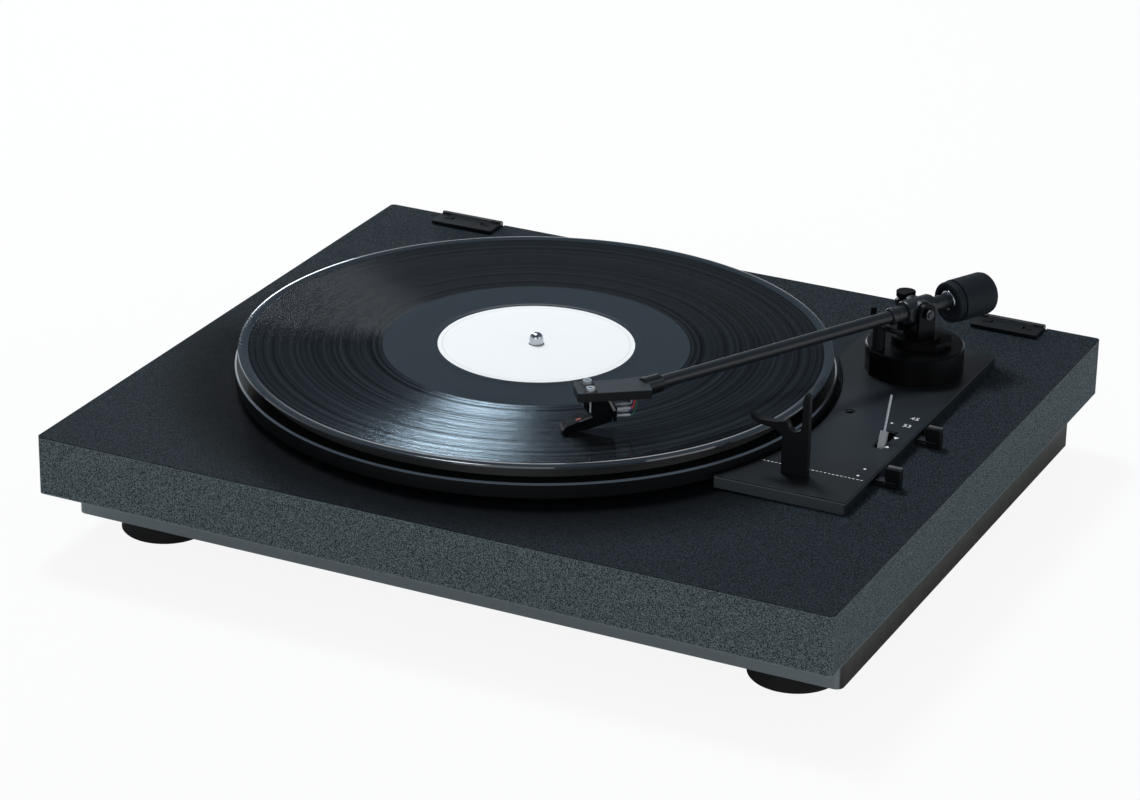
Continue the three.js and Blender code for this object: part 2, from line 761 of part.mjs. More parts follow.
// Knob: a short paddle with a dished top, pushed on its strip
function sliderKnob(front) {
  const profile = new THREE.Shape();
  const low = topHeight + knobRise;
  const high = topHeight + knobHeight;
  profile.moveTo(front + 0.4, low);
  profile.lineTo(front + knobDepth - 0.4, low);
  profile.lineTo(front + knobDepth, high);
  profile.quadraticCurveTo(front + knobDepth / 2, high - knobDish * 2, front, high);
  profile.closePath();
  // The outline is drawn in Y and Z, then stood up across X
  const body = new THREE.ExtrudeGeometry(profile, { depth: knobWidth, bevelEnabled: false,
      curveSegments: 6 });
  body.rotateY(Math.PI / 2).rotateX(Math.PI / 2).translate(knobLeft, 0, 0);
  const y0 = front + (knobDepth - sliderWidth) / 2;
  const z0 = topHeight + sliderHeight;
  const socket = block(knobLeft - overrun, knobLeft + knobWidth - 2 + clearance, y0 - clearance,
      y0 + sliderWidth + clearance,
    z0 - clearance, z0 + sliderThickness + clearance);
  return cut(body, socket);
}

// Spindle: turned steel with a round nose, a thrust shoulder and a riveted foot
function spindle() {
  const nose = topHeight + spindleTopHeight;
  const shoulderTop = wellFloorTop + spindleShoulderThickness;
  const profile = [
    [0, wellFloorBottom - overrun], [spindleFootRadius, wellFloorBottom - overrun],
    [spindleFootRadius, wellFloorTop],
    [spindleShoulderRadius, wellFloorTop], [spindleShoulderRadius, shoulderTop],
    [spindleRadius, shoulderTop],
    [spindleRadius, nose - spindleTipLength], [spindleRadius * 0.86, nose - spindleTipLength * 0.45],
    [spindleRadius * 0.5, nose - spindleTipLength * 0.1], [0, nose],
  ];
  return turned(profile, 20, spindleX, spindleY);
}

// Platter: cast, with a lowered rim, a deep skirt, a belt ring and a hub
function platter() {
  const z = topHeight;
  const flangeTop = z + platterFlangeHeight;
  const plateauTop = z + platterPlateauHeight;
  const webBottom = plateauTop - platterWeb;
  const rimBottom = flangeTop - platterWeb;
  const skirtInner = platterRadius - platterSkirtWall;
  const step = platterWeb * webStepShare;
  const ringInner = beltRingRadius - beltRingWall;
  const profile = [
    [spindleRadius + clearance, plateauTop], [platterPlateauRadius, plateauTop],
    [platterPlateauRadius + 0.8, flangeTop],
    [platterRadius - platterFlangeEdge, flangeTop], [platterRadius, flangeTop - platterFlangeEdge],
    [platterRadius, z + platterSkirtBottom], [skirtInner, z + platterSkirtBottom],
    [skirtInner, rimBottom],
    [platterPlateauRadius - step, rimBottom], [platterPlateauRadius - step * 2, webBottom],
    [beltRingRadius + step, webBottom], [beltRingRadius, webBottom - step],
    [beltRingRadius, z + beltRingBottom],
    [ringInner, z + beltRingBottom], [ringInner, webBottom], [platterHubRadius, webBottom],
    [platterHubRadius - overrun, hubGearCollarTop], [spindleRadius + clearance, hubGearCollarTop],
  ];
  let body = solid(turnedRing(profile, 60, spindleX, spindleY));
  // Two long windows reach the belt and the pulley from above
  const middle = (beltRingRadius + platterPlateauRadius) / 2;
  for (const turn of [0, Math.PI]) {
    const angle = motorAngleDegrees * degrees + turn;
    const window = new THREE.Shape();
    window.absarc(spindleX, spindleY, middle + platterWindowWidth / 2, angle - platterWindowHalf,
        angle + platterWindowHalf);
    window.absarc(spindleX, spindleY, middle - platterWindowWidth / 2, angle + platterWindowHalf,
        angle - platterWindowHalf, true);
    body = body.subtract(solid(slab(window, webBottom - overrun, plateauTop + overrun, 8)));
  }
  return geometryOf(body);
}

function platterMat() {
  const z0 = topHeight + platterPlateauHeight;
  const z1 = topHeight + matTop;
  const hole = spindleRadius + clearance * 3;
  return turnedRing([[hole, z0], [matRadius, z0], [matRadius, z1 - 0.6], [matRadius - 0.6, z1],
      [hole, z1]], 60, spindleX, spindleY);
}

// Disc: thin in the grooves, thicker in the rim bead and under the label
function recordDisc() {
  const low = topHeight + matTop;
  const groove = topHeight + discTop;
  const centre = groove + discCentreRise;
  const rimTop = groove + discRimRise;
  const rimIn = discRadius - discRimWidth;
  const profile = [
    [discHoleRadius, low], [discRadius - 1, low], [discRadius, low + discThickness / 2],
    [discRadius - 1, rimTop],
    [rimIn + 1, rimTop], [rimIn, groove], [discGrooveInnerRadius, groove],
    [discGrooveInnerRadius - 2, centre],
    [discHoleRadius, centre],
  ];
  return turnedRing(profile, 60, spindleX, spindleY);
}

function recordLabel() {
  const z0 = topHeight + discTop + discCentreRise;
  const z1 = z0 + labelThickness;
  return turnedRing([[discHoleRadius, z0], [labelRadius, z0], [labelRadius, z1], [discHoleRadius, z1]],
      36, spindleX, spindleY);
}

// One spur gear outline with involute flanks; missing teeth leave a smooth gap centred on startAngle
function gearShape(x, y, teeth, startAngle, missing = 0) {
  const pitchRadius = gearModule * teeth / 2;
  const tip = pitchRadius + gearModule * 0.85;
  const root = pitchRadius - gearModule * 1.15;
  const pressure = gearPressureDegrees * degrees;
  const base = pitchRadius * Math.cos(pressure);
  const involute = (radius) => {
    const angle = radius > base ? Math.acos(base / radius) : 0;
    return Math.tan(angle) - angle;
  };
  const halfTooth = (Math.PI / 2 - gearToothThinning) / teeth;
  const halfAt = (radius) => halfTooth + involute(pitchRadius) - involute(radius);
  const shape = [];
  const pitchAngle = Math.PI * 2 / teeth;
  for (let index = 0; index < teeth; index += 1) {
    const middle = startAngle + (index + (missing > 0 ? 0.5 : 0)) * pitchAngle;
    const fromGap = Math.min(index + 0.5, teeth - index - 0.5);
    if (missing > 0 && fromGap < missing / 2) {
      shape.push([x + root * Math.cos(middle), y + root * Math.sin(middle)]);
      continue;
    }
    const flank = [root, pitchRadius, tip];
    for (const radius of flank) {
      const angle = middle - halfAt(Math.max(radius, base));
      shape.push([x + radius * Math.cos(angle), y + radius * Math.sin(angle)]);
    }
    for (const radius of flank.reverse()) {
      const angle = middle + halfAt(Math.max(radius, base));
      shape.push([x + radius * Math.cos(angle), y + radius * Math.sin(angle)]);
    }
  }
  return outline(shape);
}

// Pinion pressed on the platter's hub; one of its teeth points at the cam gear's gap
function hubGear() {
  const shape = gearShape(spindleX, spindleY, hubGearTeeth, camGearAngleDegrees * degrees);
  const teeth = slab(shape, gearBottom, gearTop);
  const collar = post(spindleX, spindleY, gearTop - gearThickness / 2, hubGearCollarTop,
      platterHubRadius - 4, 20);
  const bore = post(spindleX, spindleY, gearBottom - overrun, hubGearCollarTop + overrun,
      spindleRadius + clearance, 20);
  const gear = solid(teeth).add(solid(collar)).subtract(solid(bore));
  return geometryOf(gear);
}

// Cam gear: its gap faces the pinion while the arm plays, and its underside holds the cam track
function camGear() {
  const towardsPinion = camGearAngleDegrees * degrees + Math.PI;
  const shape = gearShape(camX, camY, camGearTeeth, towardsPinion, camGearMissingTeeth);
  let gear = solid(slab(shape, gearBottom, gearTop));
  gear = gear.add(solid(post(camX, camY, gearBottom, gearTop, camHubRadius, 18)));
  gear = gear.subtract(solid(post(camX, camY, gearBottom - overrun, gearTop + overrun * 3,
      camStudRadius + clearance, 18)));
  // The track is a round groove set off-centre by the throw
  const trackX = camX - camTrackThrow * Math.cos(slideAngle);
  const trackY = camY - camTrackThrow * Math.sin(slideAngle);
  const half = camTrackWidth / 2;
  const floor = gearBottom + camTrackDepth;
  const ring = turnedRing([[camTrackRadius - half, gearBottom - overrun],
      [camTrackRadius + half, gearBottom - overrun],
    [camTrackRadius + half, floor], [camTrackRadius - half, floor]], 40, trackX, trackY);
  gear = gear.subtract(solid(ring));
  // Lightening pockets from above, between hub and rim
  for (let index = 0; index < camPocketCount; index += 1) {
    const turn = index * Math.PI * 2 / camPocketCount + slideAngle;
    const window = new THREE.Shape();
    const outer = camGearTeeth * gearModule / 2 - gearModule * 3;
    window.absarc(camX, camY, outer, turn, turn + camPocketHalf * 2);
    window.absarc(camX, camY, camHubRadius + gearModule * 2, turn + camPocketHalf * 2, turn, true);
    gear = gear.subtract(solid(slab(window, gearTop - camPocketDepth, gearTop + overrun, 5)));
  }
  return geometryOf(gear);
}

// Slide: a pressed steel link with guide slots, a cam pin and a peg for the arm's sector
function returnSlide() {
  const half = slideWidth / 2;
  const pegPlace = slideLength - slidePegDistance;
  const nose = pegPlace + slidePegNose;
  const corner = (along, across) => {
    const point = slidePoint(along, across);
    return [point.x, point.y];
  };
  const start = -slideTail;
  const shape = outline([corner(start, -half), corner(nose - half, -half), corner(nose, -half / 2),
      corner(nose, half / 2),
    corner(nose - half, half), corner(start, half)]);
  let slide = solid(slab(shape, slideBottom, slideTop));
  for (const along of slideGuidePlaces) {
    const slot = slideSlot(along - slideTravel / 2, slideTravel / 2 + clearance,
        slideGuideRadius + clearance);
    slide = slide.subtract(solid(slab(slot, slideBottom - overrun, slideTop + overrun, 6)));
  }
  const pin = slidePoint(slidePinLocal, 0);
  slide = slide.add(solid(post(pin.x, pin.y, slideTop - slideThickness / 2, gearBottom - clearance,
      slidePinRadius, 10)));
  const peg = slidePoint(pegPlace, 0);
  slide = slide.add(solid(post(peg.x, peg.y, slideTop - slideThickness / 2, sectorHubTop, slidePinRadius,
      10)));
  return geometryOf(slide);
}

// Motor: a pressed can with its boss in the pulley hole
function motor() {
  const top = topUnderside;
  const profile = [
    [0, top - motorHeight], [motorRadius - 2, top - motorHeight], [motorRadius, top - motorHeight + 2],
    [motorRadius, top],
    [motorBossRadius, top], [motorBossRadius, top + motorBossHeight],
    [motorShaftRadius + clearance, top + motorBossHeight],
    [motorShaftRadius + clearance, top - motorBossHeight], [0, top - motorBossHeight],
  ];
  return turned(profile, 22, motorX, motorY);
}

// Pulley: turned brass with a crowned face between two flanges, on the motor shaft
function motorPulley() {
  const beltLow = topHeight + beltBottom - clearance;
  const beltHigh = topHeight + beltBottom + beltWidth + clearance;
  const shaftLow = topUnderside - motorBossHeight + clearance;
  const profile = [
    [0, shaftLow], [motorShaftRadius, shaftLow], [motorShaftRadius, beltLow - 1.6],
    [pulleyFlangeRadius, beltLow - 1.2],
    [pulleyFlangeRadius, beltLow - 0.4], [pulleyRadius - 0.2, beltLow],
    [pulleyRadius, (beltLow + beltHigh) / 2],
    [pulleyRadius - 0.2, beltHigh], [pulleyFlangeRadius, beltHigh + 0.4],
    [pulleyFlangeRadius, beltHigh + 1.2], [0, beltHigh + 1.2],
  ];
  return turned(profile, 18, motorX, motorY);
}

// Belt outline: two arcs and the tangents between them, at one distance outside ring and pulley
function beltOutline(gap) {
  const big = beltRingRadius + gap;
  const small = pulleyRadius + gap;
  const line = motorAngleDegrees * degrees;
  const spread = Math.acos((big - small) / motorDistance);
  const shape = new THREE.Shape();
  shape.absarc(spindleX, spindleY, big, line + spread, line - spread + Math.PI * 2);
  shape.absarc(motorX, motorY, small, line - spread, line + spread);
  return shape;
}

function driveBelt() {
  const z0 = topHeight + beltBottom;
  const outside = slab(beltOutline(beltGap + beltThickness), z0, z0 + beltWidth, 24);
  const inside = slab(beltOutline(beltGap), z0 - overrun, z0 + beltWidth + overrun, 24);
  return cut(outside, inside);
}

function circuitBoard() {
  const z1 = boardBottom + boardThickness;
  const front = boardBack - boardDepth;
  let board = solid(block(boardLeft, boardRight, front, boardBack, boardBottom, z1));
  // Two can capacitors and a chip stand on it
  const capRadius = boardDepth * 0.11;
  for (const share of boardCanShares) {
    const x = boardLeft + (boardRight - boardLeft) * share;
    board = board.add(solid(post(x, front + boardDepth * 0.3, z1 - boardThickness / 2,
        z1 + capRadius * 2.4, capRadius, 10)));
  }
  return geometryOf(board);
}

// A round socket: collar through the back wall, shell and centre hole, seated on the board
function socket(x, radius, bore, reach) {
  const y0 = boardBack - socketBody;
  const z0 = boardBottom + boardThickness;
  const wallFace = trayBack - trayWall;
  const body = block(x - radius - 1.2, x + radius + 1.2, y0, wallFace - clearance, z0,
      socketHeight + radius * 0.6);
  const barrel = new THREE.CylinderGeometry(radius, radius, trayBack + reach - y0 - overrun * 2, 18);
  barrel.translate(x, (trayBack + reach + y0 + overrun * 2) / 2, socketHeight);
  const hole = new THREE.CylinderGeometry(bore, bore, socketBore * 2, 14);
  hole.translate(x, trayBack + reach, socketHeight);
  return geometryOf(solid(body).add(solid(barrel)).subtract(solid(hole)));
}

function powerInlet() {
  const base = solid(socket(powerPlace.x, powerRadius, powerBore, clearance));
  const pin = new THREE.CylinderGeometry(powerPinRadius, powerPinRadius, socketBore + overrun, 10);
  pin.translate(powerPlace.x, trayBack - (socketBore + overrun) / 2, socketHeight);
  return geometryOf(base.add(solid(pin)));
}

function lineSwitch() {
  const half = lineSwitchKnob - clearance;
  const back = trayBack - trayWall;
  const x0 = lineSwitchX - lineSwitchSlot / 2 + clearance;
  const nub = block(x0, x0 + lineSwitchSlot - lineSwitchTravel - clearance * 2, back - 3, trayBack + 1.6,
      socketHeight - half, socketHeight + half);
  const boardTop = boardBottom + boardThickness;
  const slide = block(x0 - 1.5, x0 + lineSwitchSlot - lineSwitchTravel + 1, back - 4, back - clearance,
      boardTop + clearance,
    socketHeight + half + 1.5);
  return join(nub, slide);
}

// Hinge base: a block let into the back edge with two ears for the pin
function hingeBase(side) {
  const seat = hingeSeat(side);
  const left = seat.left + clearance;
  const right = seat.right - clearance;
  const front = hingeSeatFront + clearance;
  const back = plinthDepth / 2;
  const axisZ = topHeight + hingeAxisRise;
  const floor = hingeSeatBottom;
  const bodyTop = axisZ - hingeBarrelRadius - clearance;
  let base = solid(block(left, right, front, back, floor, bodyTop));
  for (const x of [left, right - hingeEarWidth]) {
    const ear = new THREE.CylinderGeometry(hingeBarrelRadius, hingeBarrelRadius, hingeEarWidth, 14);
    ear.rotateZ(Math.PI / 2).translate(x + hingeEarWidth / 2, hingeAxisY, axisZ);
    const web = block(x, x + hingeEarWidth, hingeAxisY - hingeBarrelRadius,
        hingeAxisY + hingeBarrelRadius, bodyTop - overrun, axisZ);
    base = base.add(solid(ear)).add(solid(web));
  }
  const bore = new THREE.CylinderGeometry(hingePinRadius + clearance, hingePinRadius + clearance,
      right - left + overrun * 2, 10);
  bore.rotateZ(Math.PI / 2).translate((left + right) / 2, hingeAxisY, axisZ);
  return geometryOf(base.subtract(solid(bore)));
}

function hingePin(side) {
  const seat = hingeSeat(side);
  const length = seat.right - seat.left - clearance * 4;
  const pin = new THREE.CylinderGeometry(hingePinRadius, hingePinRadius, length, 10);
  return pin.rotateZ(Math.PI / 2).translate(seat.middle, hingeAxisY, topHeight + hingeAxisRise);
}

// Hinge tongue: the plate that the lid slides on, with two L-shaped catches cut in it
function hingeTongue(side) {
  const seat = hingeSeat(side);
  const axisZ = topHeight + hingeAxisRise;
  const low = axisZ - hingeTongueThickness / 2;
  const high = axisZ + hingeTongueThickness / 2;
  const inner = hingeEarWidth + clearance * 2;
  const plate = roundedRectangle(seat.left, seat.right, hingeTongueFront,
      hingeAxisY - hingeBarrelRadius - clearance * 2, 1.2);
  let tongue = solid(slab(plate, low, high, 3));
  const neck = block(seat.left + inner, seat.right - inner, hingeAxisY - hingeBarrelRadius - overrun * 2,
      hingeAxisY, low, high);
  const barrel = new THREE.CylinderGeometry(hingeBarrelRadius, hingeBarrelRadius,
      seat.right - seat.left - inner * 2, 14);
  barrel.rotateZ(Math.PI / 2).translate(seat.middle, hingeAxisY, axisZ);
  tongue = tongue.add(solid(neck)).add(solid(barrel));
  const bore = new THREE.CylinderGeometry(hingePinRadius + clearance, hingePinRadius + clearance,
      seat.right - seat.left, 10);
  tongue = tongue.subtract(solid(bore.rotateZ(Math.PI / 2).translate(seat.middle, hingeAxisY, axisZ)));
  for (const end of [-1, 1]) {
    const x = seat.middle + end * (seat.right - seat.left) * hingeCatchShare;
    const y = (hingeTongueFront + hingeAxisY) / 2 - overrun;
    const long = block(Math.min(x, x + end * hingeCatchLength), Math.max(x, x + end * hingeCatchLength),
        y,
      y + hingeCatchWidth, low - overrun, high + overrun);
    const short = block(x - hingeCatchWidth / 2, x + hingeCatchWidth / 2, y, y + hingeCatchLength * 0.7,
        low - overrun, high + overrun);
    tongue = tongue.subtract(solid(long)).subtract(solid(short));
  }
  return geometryOf(tongue);
}

// Arm base: a round turret, hollow below, with the lift's boss and the bearing tube inside it
function armBase() {
  const low = topHeight + controlPlateHeight;
  const high = topHeight + armBaseHeight;
  const outer = [[0, low], [armBaseRadius, low], [armBaseRadius, high - armBaseEdge],
      [armBaseRadius - armBaseEdge, high], [0, high]];
  let base = solid(turned(outer, 36, armPivotX, armPivotY));
  base = base.subtract(solid(post(armPivotX, armPivotY, low - overrun, high - armBaseWall,
      armBaseRadius - armBaseWall, 36)));
  base = base.add(solid(post(liftX, liftY, low, high - armBaseWall / 2, liftBossRadius, 18)));
  base = base.add(solid(post(armPivotX, armPivotY, topHeight - armBearingDepth, high - armBaseWall / 2,
      armBearingRadius, 20)));
  base = base.subtract(solid(post(armPivotX, armPivotY, topHeight - armBearingDepth - overrun,
      high + overrun,
    armShaftRadius + clearance, 18)));
  base = base.subtract(solid(post(liftX, liftY, low - overrun, high + overrun,
      liftPostRadius + clearance, 18)));
  return geometryOf(base);
}

// Arm rest: a flat post with a fork for the arm, a swept lead-in horn and a tab through the plate
function armRest() {
  const z = topHeight;
  const foot = z + controlPlateHeight;
  const slotLeft = restSlotCentre - restSlotWidth / 2;
  const slotRight = restSlotCentre + restSlotWidth / 2;
  const ledge = z + restLedgeHeight;
  const shape = new THREE.Shape();
  shape.moveTo(restPostLeft, foot);
  shape.lineTo(restPostRight, foot);
  shape.lineTo(restPostRight, z + restForkTop - 2);
  shape.lineTo(restPostRight - 2, z + restForkTop);
  shape.lineTo(slotRight + 1.2, z + restForkTop - 0.6);
  shape.lineTo(slotRight, z + restForkTop - 4);
  shape.lineTo(slotRight, z + restSlotBottom + restSlotWidth / 2);
  shape.absarc(restSlotCentre, z + restSlotBottom + restSlotWidth / 2, restSlotWidth / 2, 0, -Math.PI,
      true);
  shape.lineTo(slotLeft, ledge - 0.4);
  shape.lineTo(slotLeft - 1.4, ledge + 0.8);
  shape.quadraticCurveTo(restPostLeft - 4, ledge - 0.9, restHornLeft + 6, ledge - 0.6);
  shape.quadraticCurveTo(restHornLeft + 2, ledge, restHornLeft, z + restHornTop);
  shape.quadraticCurveTo(restHornLeft - 0.4, ledge - restHornThickness + 0.8, restHornLeft + 5,
      ledge - restHornThickness - 0.4);
  shape.quadraticCurveTo(restPostLeft - 3, ledge - restHornThickness - 0.8, restPostLeft,
      ledge - restHornThickness - 3.6);
  shape.closePath();
  const plate = new THREE.ExtrudeGeometry(shape, { depth: restThickness, bevelEnabled: false,
      curveSegments: 8 });
  plate.rotateX(Math.PI / 2).translate(0, restFront + restThickness, 0);
  const tab = block(restPostLeft + restTabInset, restPostRight - restTabInset,
      restFront + restTabInset / 2,
    restFront + restThickness - restTabInset / 2, z + clearance, foot + restThickness);
  return join(plate, tab);
}

// Cue lever: a grey moulding on a pin under the plate, leaning back as in the photograph
function cueLever() {
  const lean = cueLeanDegrees * degrees;
  const half = cueLeverDepth / 2;
  const pivotZ = topHeight + cuePivotHeight;
  const reach = (cueBlockTop - cuePivotHeight) / Math.cos(lean);
  const stem = block(-cueLeverWidth / 2, cueLeverWidth / 2, -half, half, 0, reach);
  const hub = new THREE.CylinderGeometry(cuePivotRadius, cuePivotRadius, cueLeverWidth, 14);
  hub.rotateZ(Math.PI / 2);
  const bore = new THREE.CylinderGeometry(cuePinRadius + clearance, cuePinRadius + clearance,
      cueLeverWidth + overrun * 2, 10);
  bore.rotateZ(Math.PI / 2);
  const rodHole = post(0, 0, reach - cueRodSeat, reach + overrun, cueRodRadius + clearance, 10);
  const lever = geometryOf(solid(stem).add(solid(hub)).subtract(solid(bore)).subtract(solid(rodHole)));
  return lever.rotateX(-lean).translate(cueLeverX, cuePivotY, pivotZ);
}

function cueLeverRod() {
  const lean = cueLeanDegrees * degrees;
  const from = (cueBlockTop - cuePivotHeight) / Math.cos(lean) - cueRodSeat + clearance;
  const to = (cueRodTop - cuePivotHeight) / Math.cos(lean);
  const rod = post(0, 0, from, to - cueRodRadius / 2, cueRodRadius, 10);
  const cap = post(0, 0, to - cueRodRadius / 2, to, cueRodRadius, 10, cueRodRadius / 2);
  return join(rod, cap).rotateX(-lean).translate(cueLeverX, cuePivotY, topHeight + cuePivotHeight);
}

// Bracket and pin that carry the cue lever under the plinth's top
function cueBracket() {
  const pivotZ = topHeight + cuePivotHeight;
  const y0 = cuePivotY - cuePivotRadius;
  const y1 = cuePivotY + cuePivotRadius;
  const inner = cueLeverWidth / 2 + clearance;
  const outer = inner + cueBracketThickness;
  const left = block(cueLeverX - outer, cueLeverX - inner, y0, y1, pivotZ - cuePivotRadius, topUnderside);
  const right = block(cueLeverX + inner, cueLeverX + outer, y0, y1, pivotZ - cuePivotRadius,
      topUnderside);
  const pin = new THREE.CylinderGeometry(cuePinRadius, cuePinRadius, inner * 2 + cueBracketThickness, 10);
  pin.rotateZ(Math.PI / 2).translate(cueLeverX, cuePivotY, pivotZ);
  return join(left, right, pin);
}

// Lift post: the plunger that carries the lift bar
function liftPost() {
  const z0 = topHeight + liftPostBottom;
  const z1 = topHeight + liftBarTop - liftBarThickness;
  const profile = [[0, z0], [liftPostRadius - 0.6, z0], [liftPostRadius, z0 + 0.6], [liftPostRadius, z1],
      [0, z1]];
  return turned(profile, 18, liftX, liftY);
}

// Lift bar: an arc about the arm's pivot with an upturned end on the platter side
function liftBar() {
  const z1 = topHeight + liftBarTop;
  const z0 = z1 - liftBarThickness;
  const shape = new THREE.Shape();
  const from = (armAngleDegrees + liftBarInner) * degrees;
  const to = (armAngleDegrees + liftBarOuter) * degrees;
  shape.absarc(armPivotX, armPivotY, liftBarRadius + liftBarWidth / 2, from, to);
  shape.absarc(armPivotX, armPivotY, liftBarRadius - liftBarWidth / 2, to, from, true);
  const bar = slab(shape, z0, z1, 10);
  const tip = new THREE.Shape();
  const tipSpan = liftBarThickness / liftBarRadius;
  tip.absarc(armPivotX, armPivotY, liftBarRadius + liftBarWidth / 2, from, from + tipSpan);
  tip.absarc(armPivotX, armPivotY, liftBarRadius - liftBarWidth / 2, from + tipSpan, from, true);
  return join(bar, slab(tip, z0, z1 + liftBarTipRise, 2));
}

// The tonearm is drawn in its own frame: x runs forward along the tube, y to the near side
const tonearm = new THREE.Group();
tonearm.position.set(armPivotX, armPivotY, 0);
tonearm.rotation.z = armAngleDegrees * degrees;
part.add(tonearm);

// A cylinder along the arm frame's Y
function crossPost(x, y0, y1, z, radius, segments = 20) {
  const cylinder = new THREE.CylinderGeometry(radius, radius, y1 - y0, segments);
  return cylinder.translate(x, (y0 + y1) / 2, z);
}

// A turned profile of [along, radius] points about the arm's tube axis
function alongArm(profile, segments) {
  const points = profile.map(([along, radius]) => [radius, along]);
  return lathed(points, segments).rotateZ(-Math.PI / 2).translate(0, 0, axisZ);
}

// Yoke: the part of the arm that turns on the upright bearing, with two cheeks for the cross pivots
function armYoke() {
  const z = topHeight;
  const low = z + yokeBaseBottom;
  const blockTop = z + yokeBlockTop;
  const inner = hubBlockHalf + yokeGap;
  const outer = inner + yokeThickness;
  let yoke = solid(post(0, 0, low, low + yokeBaseHeight, yokeBaseRadius, 28));
  yoke = yoke.add(solid(slab(outline(yokeLugSizes), low, low + yokeBaseHeight - yokeLugStep)));
  yoke = yoke.add(solid(block(-yokeHalfLength, yokeHalfLength, -outer, outer, low, blockTop)));
  for (const side of [-1, 1]) {
    const near = Math.min(side * inner, side * outer);
    const far = Math.max(side * inner, side * outer);
    yoke = yoke.add(solid(block(-yokeHalfLength, yokeHalfLength, near, far, blockTop - overrun, axisZ)));
    yoke = yoke.add(solid(crossPost(0, near, far, axisZ, yokeHalfLength, 20)));
    yoke = yoke.subtract(solid(crossPost(0, near - overrun, far + overrun, axisZ,
        pivotScrewRadius + clearance, 10)));
  }
  // The far cheek carries a round post with a cap
  const postRadius = yokePostRadius;
  const farMiddle = -inner - yokePostOffset;
  yoke = yoke.add(solid(post(0, farMiddle, low, z + yokeFarTop - yokeCapThickness, postRadius, 18)));
  yoke = yoke.add(solid(post(0, farMiddle, z + yokeFarTop - yokeCapThickness, z + yokeFarTop,
      yokeCapRadius, 18)));
  yoke = yoke.subtract(solid(crossPost(0, farMiddle - postRadius * 2, -inner + overrun, axisZ,
      pivotScrewRadius + clearance, 10)));
  yoke = yoke.subtract(solid(block(-yokeHalfLength - overrun, yokeHalfLength + overrun, -inner, inner,
      z + yokeBlockTop - 0.5, z + yokeFarTop + overrun)));
  yoke = yoke.subtract(solid(post(0, 0, low - overrun, blockTop + overrun, armShaftRadius + clearance,
      18)));
  return geometryOf(yoke);
}

// Shaft: pressed in the yoke, running down the arm base's bearing tube
function armShaft() {
  const z0 = topHeight + armShaftBottom;
  const z1 = topHeight + yokeBlockTop - clearance;
  return post(0, 0, z0, z1, armShaftRadius, 14);
}

// Sector: the plate on the shaft's lower end, turned towards the slide's peg
function armSector() {
  const middle = slideAngle + Math.PI - armAngleDegrees * degrees;
  const half = sectorHalfDegrees * degrees;
  const low = sectorHubTop - (sectorHubHeight + sectorThickness) / 2;
  const shape = new THREE.Shape();
  shape.absarc(0, 0, sectorReach, middle - half, middle + half);
  shape.lineTo(0, 0);
  const hub = post(0, 0, sectorHubTop - sectorHubHeight, sectorHubTop, sectorHubRadius, 18);
  const bore = post(0, 0, sectorHubTop - sectorHubHeight - overrun, sectorHubTop + overrun,
      armShaftRadius + clearance, 14);
  return geometryOf(solid(slab(shape, low, low + sectorThickness,
      10)).add(solid(hub)).subtract(solid(bore)));
}

function pivotScrew(side) {
  const inner = side * (hubBlockHalf - pivotScrewBite);
  const cheekInner = hubBlockHalf + yokeGap;
  const cheek = side > 0 ? cheekInner + yokeThickness : cheekInner + yokePostOffset + yokePostRadius;
  const outer = side * (cheek + pivotNutThickness + 1);
  const shank = crossPost(0, Math.min(inner, outer), Math.max(inner, outer), axisZ, pivotScrewRadius, 10);
  const nutFrom = side * (cheek + clearance);
  const nutTo = side * (cheek + clearance + pivotNutThickness);
  const nut = crossPost(0, Math.min(nutFrom, nutTo), Math.max(nutFrom, nutTo), axisZ, pivotNutRadius, 6);
  return join(shank, nut);
}

// Hub block: the cross sleeve on the tube, with a blind bore for each pivot screw
function armHubBlock() {
  let hub = solid(crossPost(0, -hubBlockHalf, hubBlockHalf, axisZ, hubBlockRadius, 22));
  const along = [
    [-hubSleeveHalf, 0], [-hubSleeveHalf, hubSleeveEndRadius], [-hubSleeveBarrelHalf, hubSleeveRadius],
    [hubSleeveBarrelHalf, hubSleeveRadius], [hubSleeveHalf, hubSleeveEndRadius], [hubSleeveHalf, 0],
  ];
  hub = hub.add(solid(alongArm(along, 20)));
  const bore = rearTubeRadius + clearance;
  const tubeRoom = [[-hubKeepHalf, 0], [-hubKeepHalf, bore], [hubKeepHalf, bore], [hubKeepHalf, 0]];
  hub = hub.subtract(solid(alongArm(tubeRoom, 18)));
  const low = axisZ - hubBlockRadius - 1;
  const high = axisZ + hubBlockRadius + 1;
  const keep = block(-hubKeepHalf, hubKeepHalf, -hubBlockHalf, hubBlockHalf, low, high);
  hub = hub.intersect(solid(keep));
  for (const side of [-1, 1]) {
    const to = side * (hubBlockHalf + overrun);
    hub = hub.subtract(solid(crossPost(0, Math.min(0, to), Math.max(0, to), axisZ,
        pivotScrewRadius + clearance, 10)));
  }
  return geometryOf(hub);
}

function armTube() {
  const back = rearTubeFront - tubeSocketDepth + clearance;
  return alongArm([[back, 0], [back, frontTubeRadius], [tubeEnd, frontTubeRadius], [tubeEnd, 0]], 14);
}

function armRearTube() {
  const socketRadius = frontTubeRadius + clearance;
  const socketFloor = rearTubeFront - tubeSocketDepth;
  const profile = [
    [rearTubeBack, 0], [rearTubeBack, rearTubeRadius], [rearTubeFront - 3.6, rearTubeRadius],
    [rearTubeFront - 3, rearTubeRadius + 0.5],
    [rearTubeFront - 0.6, rearTubeRadius + 0.5], [rearTubeFront, rearTubeRadius],
    [rearTubeFront, socketRadius],
    [socketFloor, socketRadius], [socketFloor, 0],
  ];
  return alongArm(profile, 18);
}

